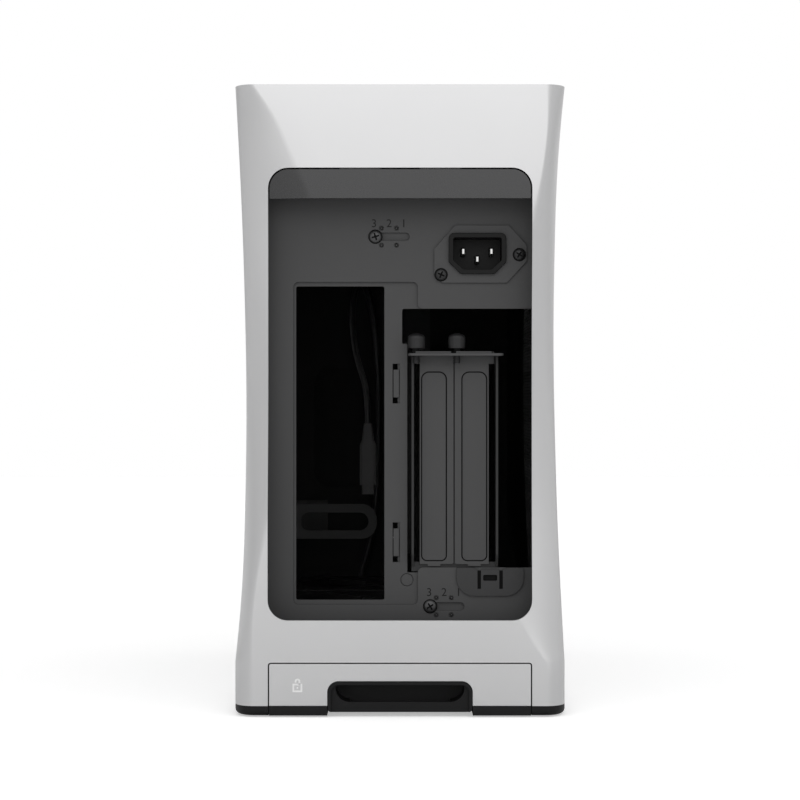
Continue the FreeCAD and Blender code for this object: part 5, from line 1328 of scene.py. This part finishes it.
@dataclass
class FilterTray(Assembly):
    """Pull-out filter tray with its aluminium front, sizes in millimetres.

    The sign's lock is given by its left, right, lower and upper line, and its shackle by middle, radius and
    the height at which the arch starts. The arch is pressed flat by a share and ends open on one side.
    """

    body: str = "filter_tray"
    coats: tuple[Coat, ...] = (
        Coat("tray_fascia", ALUMINIUM, 0.25), Coat("tray_frame", BASE, 0.3),
        # The scoop's faces ahead of this depth take the lighter copy of the black: painted light
        Coat("tray_handle", BASE, 0.5, SCOOP_LIGHT, ahead=-172.0), Coat("filter_mesh", CLOTH, 0.2),
    )
    face: float = -183.0
    ink: float = 0.02
    line: float = 0.85
    lock: tuple[float, float, float, float] = (-52.9, -48.9, 12.9, 16.3)
    shackle: tuple[float, float, float] = (-50.85, 0.95, 17.95)
    arch_parts: int = 8
    arch_share: float = 0.9
    open_end: float = 0.7
    dot: float = 0.45
    dot_points: int = 12
    least_run: float = 1e-9
    least_cosine: float = 0.5

    def ribbon(self, shape: Shape, points: Sequence[Pair], closed: bool) -> None:
        """Adds a flat printed line.

        Args:
            shape: the shape that gets it.
            points: the line's middle in X and Z.
            closed: whether its ends meet.
        """
        path = [np.array(p) for p in points]
        left, right = [], []
        for i, p in enumerate(path):
            before = path[i - 1] if i or closed else p
            after = path[(i + 1) % len(path)] if i + 1 < len(path) or closed else p
            steps = [q for q in (p - before, after - p) if np.linalg.norm(q) > self.least_run]
            run = [q / np.linalg.norm(q) for q in steps]
            way = sum(run) / np.linalg.norm(sum(run))
            normal = np.array((-way[1], way[0]))
            reach = self.line / 2 / max(self.least_cosine, float(np.dot(way, run[0])))
            for side, sign in ((left, 1), (right, -1)):
                q = p + normal * reach * sign
                side.append(shape.verts.new(metres(q[0], self.face - self.ink, q[1])))
        count = len(path) if closed else len(path) - 1
        for i in range(count):
            j = (i + 1) % len(path)
            shape.faces.new((right[i], right[j], left[j], left[i]))

    def extra(self) -> list[Piece]:
        """Printed open-padlock sign."""
        shape = bmesh.new()
        x0, x1, z0, z1 = self.lock
        self.ribbon(shape, ((x0, z0), (x1, z0), (x1, z1), (x0, z1)), True)
        middle, radius, rise = self.shackle
        arch = [(middle + radius, z1)]
        for i in range(self.arch_parts + 1):
            angle = math.pi * i / self.arch_parts
            lift = radius * math.sin(angle) * self.arch_share
            arch.append((middle + radius * math.cos(angle), rise + lift))
        arch.append((middle - radius, rise - self.open_end))
        self.ribbon(shape, arch, False)
        x, z = (x0 + x1) / 2, (z0 + z1) / 2
        dot = []
        for i in range(self.dot_points):
            angle = 2 * math.pi * i / self.dot_points
            at = metres(x + self.dot * math.cos(angle), self.face - self.ink, z + self.dot * math.sin(angle))
            dot.append(shape.verts.new(at))
        shape.faces.new(dot)
        for face in shape.faces:
            face.normal_update()
            if face.normal.y > 0:
                face.normal_flip()
        bmesh.ops.solidify(shape, geom=shape.faces[:], thickness=self.ink * MM)
        bmesh.ops.recalc_face_normals(shape, faces=shape.faces[:])
        return [place("padlock_sign", to_mesh(shape, "padlock_sign"), PALE_INK, self.body)]


@dataclass
class Base(Assembly):
    """Black base with its feet and the two fans' frames."""

    body: str = "chassis"
    coats: tuple[Coat, ...] = (
        Coat("base_frame", BASE, 0.3), Coat("rubber_feet", RUBBER, 0.4), Coat("rear_fan_frame", FAN, 0.3),
        Coat("front_fan_frame", FAN, 0.3),
    )


@dataclass
class FrontPanel(Assembly):
    """Front connections with their board."""

    body: str = "chassis"
    coats: tuple[Coat, ...] = (
        Coat("front_io_fascia", ALUMINIUM, 0.25), Coat("io_board", LAMINATE, 0.15),
        Coat("power_switch", INLET, 0.2), Coat("usb_a_ports", PLATED, 0.1), Coat("usb_c_port", PLATED, 0.1),
        Coat("audio_jack", INLET, 0.2), Coat("lead_header", INLET, 0.25), Coat("lead_grommet", RUBBER, 0.25),
    )


@dataclass
class Lead:
    """Front lead that hangs inside, sizes in millimetres."""

    body: str = "chassis"
    diameter: float = 3.5
    length: float = 329.6
    route: tuple[Point, ...] = (
        (-27.0, 145.0, 17.0), (-27.0, 145.0, 34.0), (-23.5, 145.2, 53.0), (-16.5, 145.0, 76.0),
        (-13.4, 145.4, 114.0), (-13.0, 145.0, 160.0), (-15.0, 143.0, 200.0), (-20.0, 131.0, 226.0),
        (-26.0, 107.0, 229.0), (-29.0, 88.0, 209.0), (-26.5, 80.0, 184.0), (-19.0, 79.0, 163.0),
        (-19.0, 79.0, 143.5),
    )

    def build(self) -> None:
        curve = bpy.data.curves.new("hanging_lead", "CURVE")
        curve.dimensions = "3D"
        curve.bevel_depth = self.diameter / 2 * MM
        curve.bevel_resolution = 5
        curve.resolution_u = 10
        line = curve.splines.new("NURBS")
        line.points.add(len(self.route) - 1)
        for point, at in zip(line.points, self.route):
            point.co = (*(Vector(at) * MM), 1.0)
        line.order_u = 3
        line.use_endpoint_u = True
        curve.materials.append(JACKET.material())
        piece = put("hanging_lead", curve)
        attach(piece, self.body)
        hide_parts("front_lead")
        plug = Assembly(self.body).dress(Coat("lead_connector", PLUG, 0.3))
        Vector(self.route[0]) * MM
        log.info("%s on %s: cord of %.1f mm", piece.name, self.body, self.length)


@dataclass
class Studio:
    """Camera, pale floor and soft light, in metres.

    Front, sides, back, far end, lean and above are the light of the surroundings by direction. The lobes are
    the powers by which it falls off.
    """

    camera: Point = (0.0, -1.527, 0.1574)
    lens: float = 121.95
    sensor: float = 36.0
    nearest: float = 0.05
    floor_half: float = 4.0
    front: float = 1.02
    sides: float = 0.62
    back: float = 0.4
    far_end: float = 0.55
    lean: float = 0.04
    above: float = 0.12
    lobe: float = 4.0
    back_lobe: float = 2.0
    end_lobe: float = 10.0
    tilt: float = 4.0
    floor_tone: float = 0.9
    floor_seen: float = 0.86
    floor_glow: float = 0.42
    box_at: Point = (0.0, -1.25, 0.75)
    box_aim: Point = (0.0, 0.0, 0.2)
    box_size: Pair = (0.9, 0.5)
    box_power: float = 1.0

    def build(self) -> None:
        """Sets up the whole studio."""
        self.shoot()
        self.lay_floor()
        self.light()
        bpy.context.scene.view_settings.view_transform = "Standard"
        log.info("studio is set")

    def shoot(self) -> None:
        """Camera at the photograph's place."""
        data = bpy.data.cameras.new("camera")
        data.lens = self.lens
        data.sensor_width = self.sensor
        data.sensor_fit = "HORIZONTAL"
        data.clip_start = self.nearest
        eye = put("camera", data)
        eye.location = self.camera
        eye.rotation_euler = (math.pi / 2, 0.0, 0.0)
        bpy.context.scene.camera = eye

    def lay_floor(self) -> None:
        """Pale floor that keeps the shadow and is white to the camera."""
        shape = bmesh.new()
        bmesh.ops.create_grid(shape, x_segments=1, y_segments=1, size=self.floor_half)
        floor = put("floor", to_mesh(shape, "floor"))
        paint = bpy.data.materials.new("pale_floor")
        paint.use_nodes = True
        nodes = paint.node_tree.nodes
        nodes.remove(nodes["Principled BSDF"])
        tree = Tree(paint.node_tree)
        matt, dim = (
            tree.add("ShaderNodeBsdfDiffuse", inputs={"Color": (tone, tone, tone, 1.0), "Roughness": 0.5})
            for tone in (self.floor_seen, self.floor_tone)
        )
        white = {"Color": (1.0, 1.0, 1.0, 1.0), "Strength": self.floor_glow}
        glow = tree.add("ShaderNodeEmission", inputs=white)
        lifted = tree.add("ShaderNodeAddShader", inputs={0: matt, 1: glow})
        seen = tree.add("ShaderNodeLightPath", output="Is Camera Ray")
        mixed = tree.add("ShaderNodeMixShader", inputs={0: seen, 1: dim, 2: lifted})
        tree.feed(nodes["Material Output"].inputs["Surface"], mixed)
        floor.data.materials.append(paint)

    def light(self) -> None:
        """Studio gradient all round and one soft box above the camera."""
        world = bpy.data.worlds.new("studio")
        bpy.context.scene.world = world
        world.use_nodes = True
        tree = Tree(world.node_tree)
        way = tree.add("ShaderNodeTexCoord", output="Generated")
        x, y, z = tree.split(way)
        slope = math.radians(self.tilt)
        rear = (z * math.sin(slope) - y * math.cos(slope)).floor_at(0.0)
        ahead = y.floor_at(0.0)
        glow = self.sides + (self.front - self.sides) * rear**self.lobe + x * self.lean
        glow = glow + (self.back - self.sides) * ahead**self.back_lobe + self.far_end * ahead**self.end_lobe
        glow = glow + z.floor_at(0.0) * self.above
        seen = tree.add("ShaderNodeLightPath", output="Is Camera Ray")
        through = tree.add("ShaderNodeLightPath", output="Is Transmission Ray")
        mask = seen.math("MAXIMUM", through)
        back = world.node_tree.nodes["Background"]
        back.inputs["Color"].default_value = (1.0, 1.0, 1.0, 1.0)
        tree.feed(back.inputs["Strength"], mask + (1 - mask) * glow)
        lamp = bpy.data.lights.new("soft_box", "AREA")
        lamp.shape = "RECTANGLE"
        lamp.size, lamp.size_y = self.box_size
        lamp.energy = self.box_power
        box = put("soft_box", lamp)
        box.location = self.box_at
        aim = Vector(self.box_aim) - Vector(self.box_at)
        box.rotation_euler = aim.to_track_quat("-Z", "Y").to_euler()


def main() -> None:
    """Builds the case, sub-assembly by sub-assembly."""
    logging.basicConfig(level=logging.INFO, format="%(message)s", stream=sys.stdout)
    spine_seats = (
        Seat((-12.4, -161.0, 239.7)), Seat((15.2, -161.0, 53.4)), Seat((14.0, 166.2, 90.0), 1),
        Seat((14.0, 166.2, 190.0), 1),
    )
    inlet_seats = (Seat((20.7, -162.2, 220.5)), Seat((60.1, -162.2, 230.6)))
    parts = (
        Studio(), Lead(), Shell(), TopPanel(), RearWall(), Spine(), Thumbscrews(),
        Fasteners(
            "spine_position_screws", "spine", "spine_screws", spine_seats,
            radius=3.1, head=1.6, shank=(1.7, 4.0), seed=3,
        ),
        MainsInlet(),
        Fasteners(
            "inlet_plate_screws", "chassis", "inlet_screws", inlet_seats,
            radius=2.9, head=1.6, shank=(1.5, 3.5), seed=8, finish=DARK_SCREW,
        ),
        FilterTray(), Base(), Assembly("rear_fan_rotor", (Coat("rear_fan_rotor", FAN, 0.2),)),
        Assembly("front_fan_rotor", (Coat("front_fan_rotor", FAN, 0.2),)), FrontPanel(),
        Assembly("power_button", (Coat("power_button", TRIM, 0.3),)),
    )
    for part in parts:
        part.build()


if __name__ == "__main__":
    main()
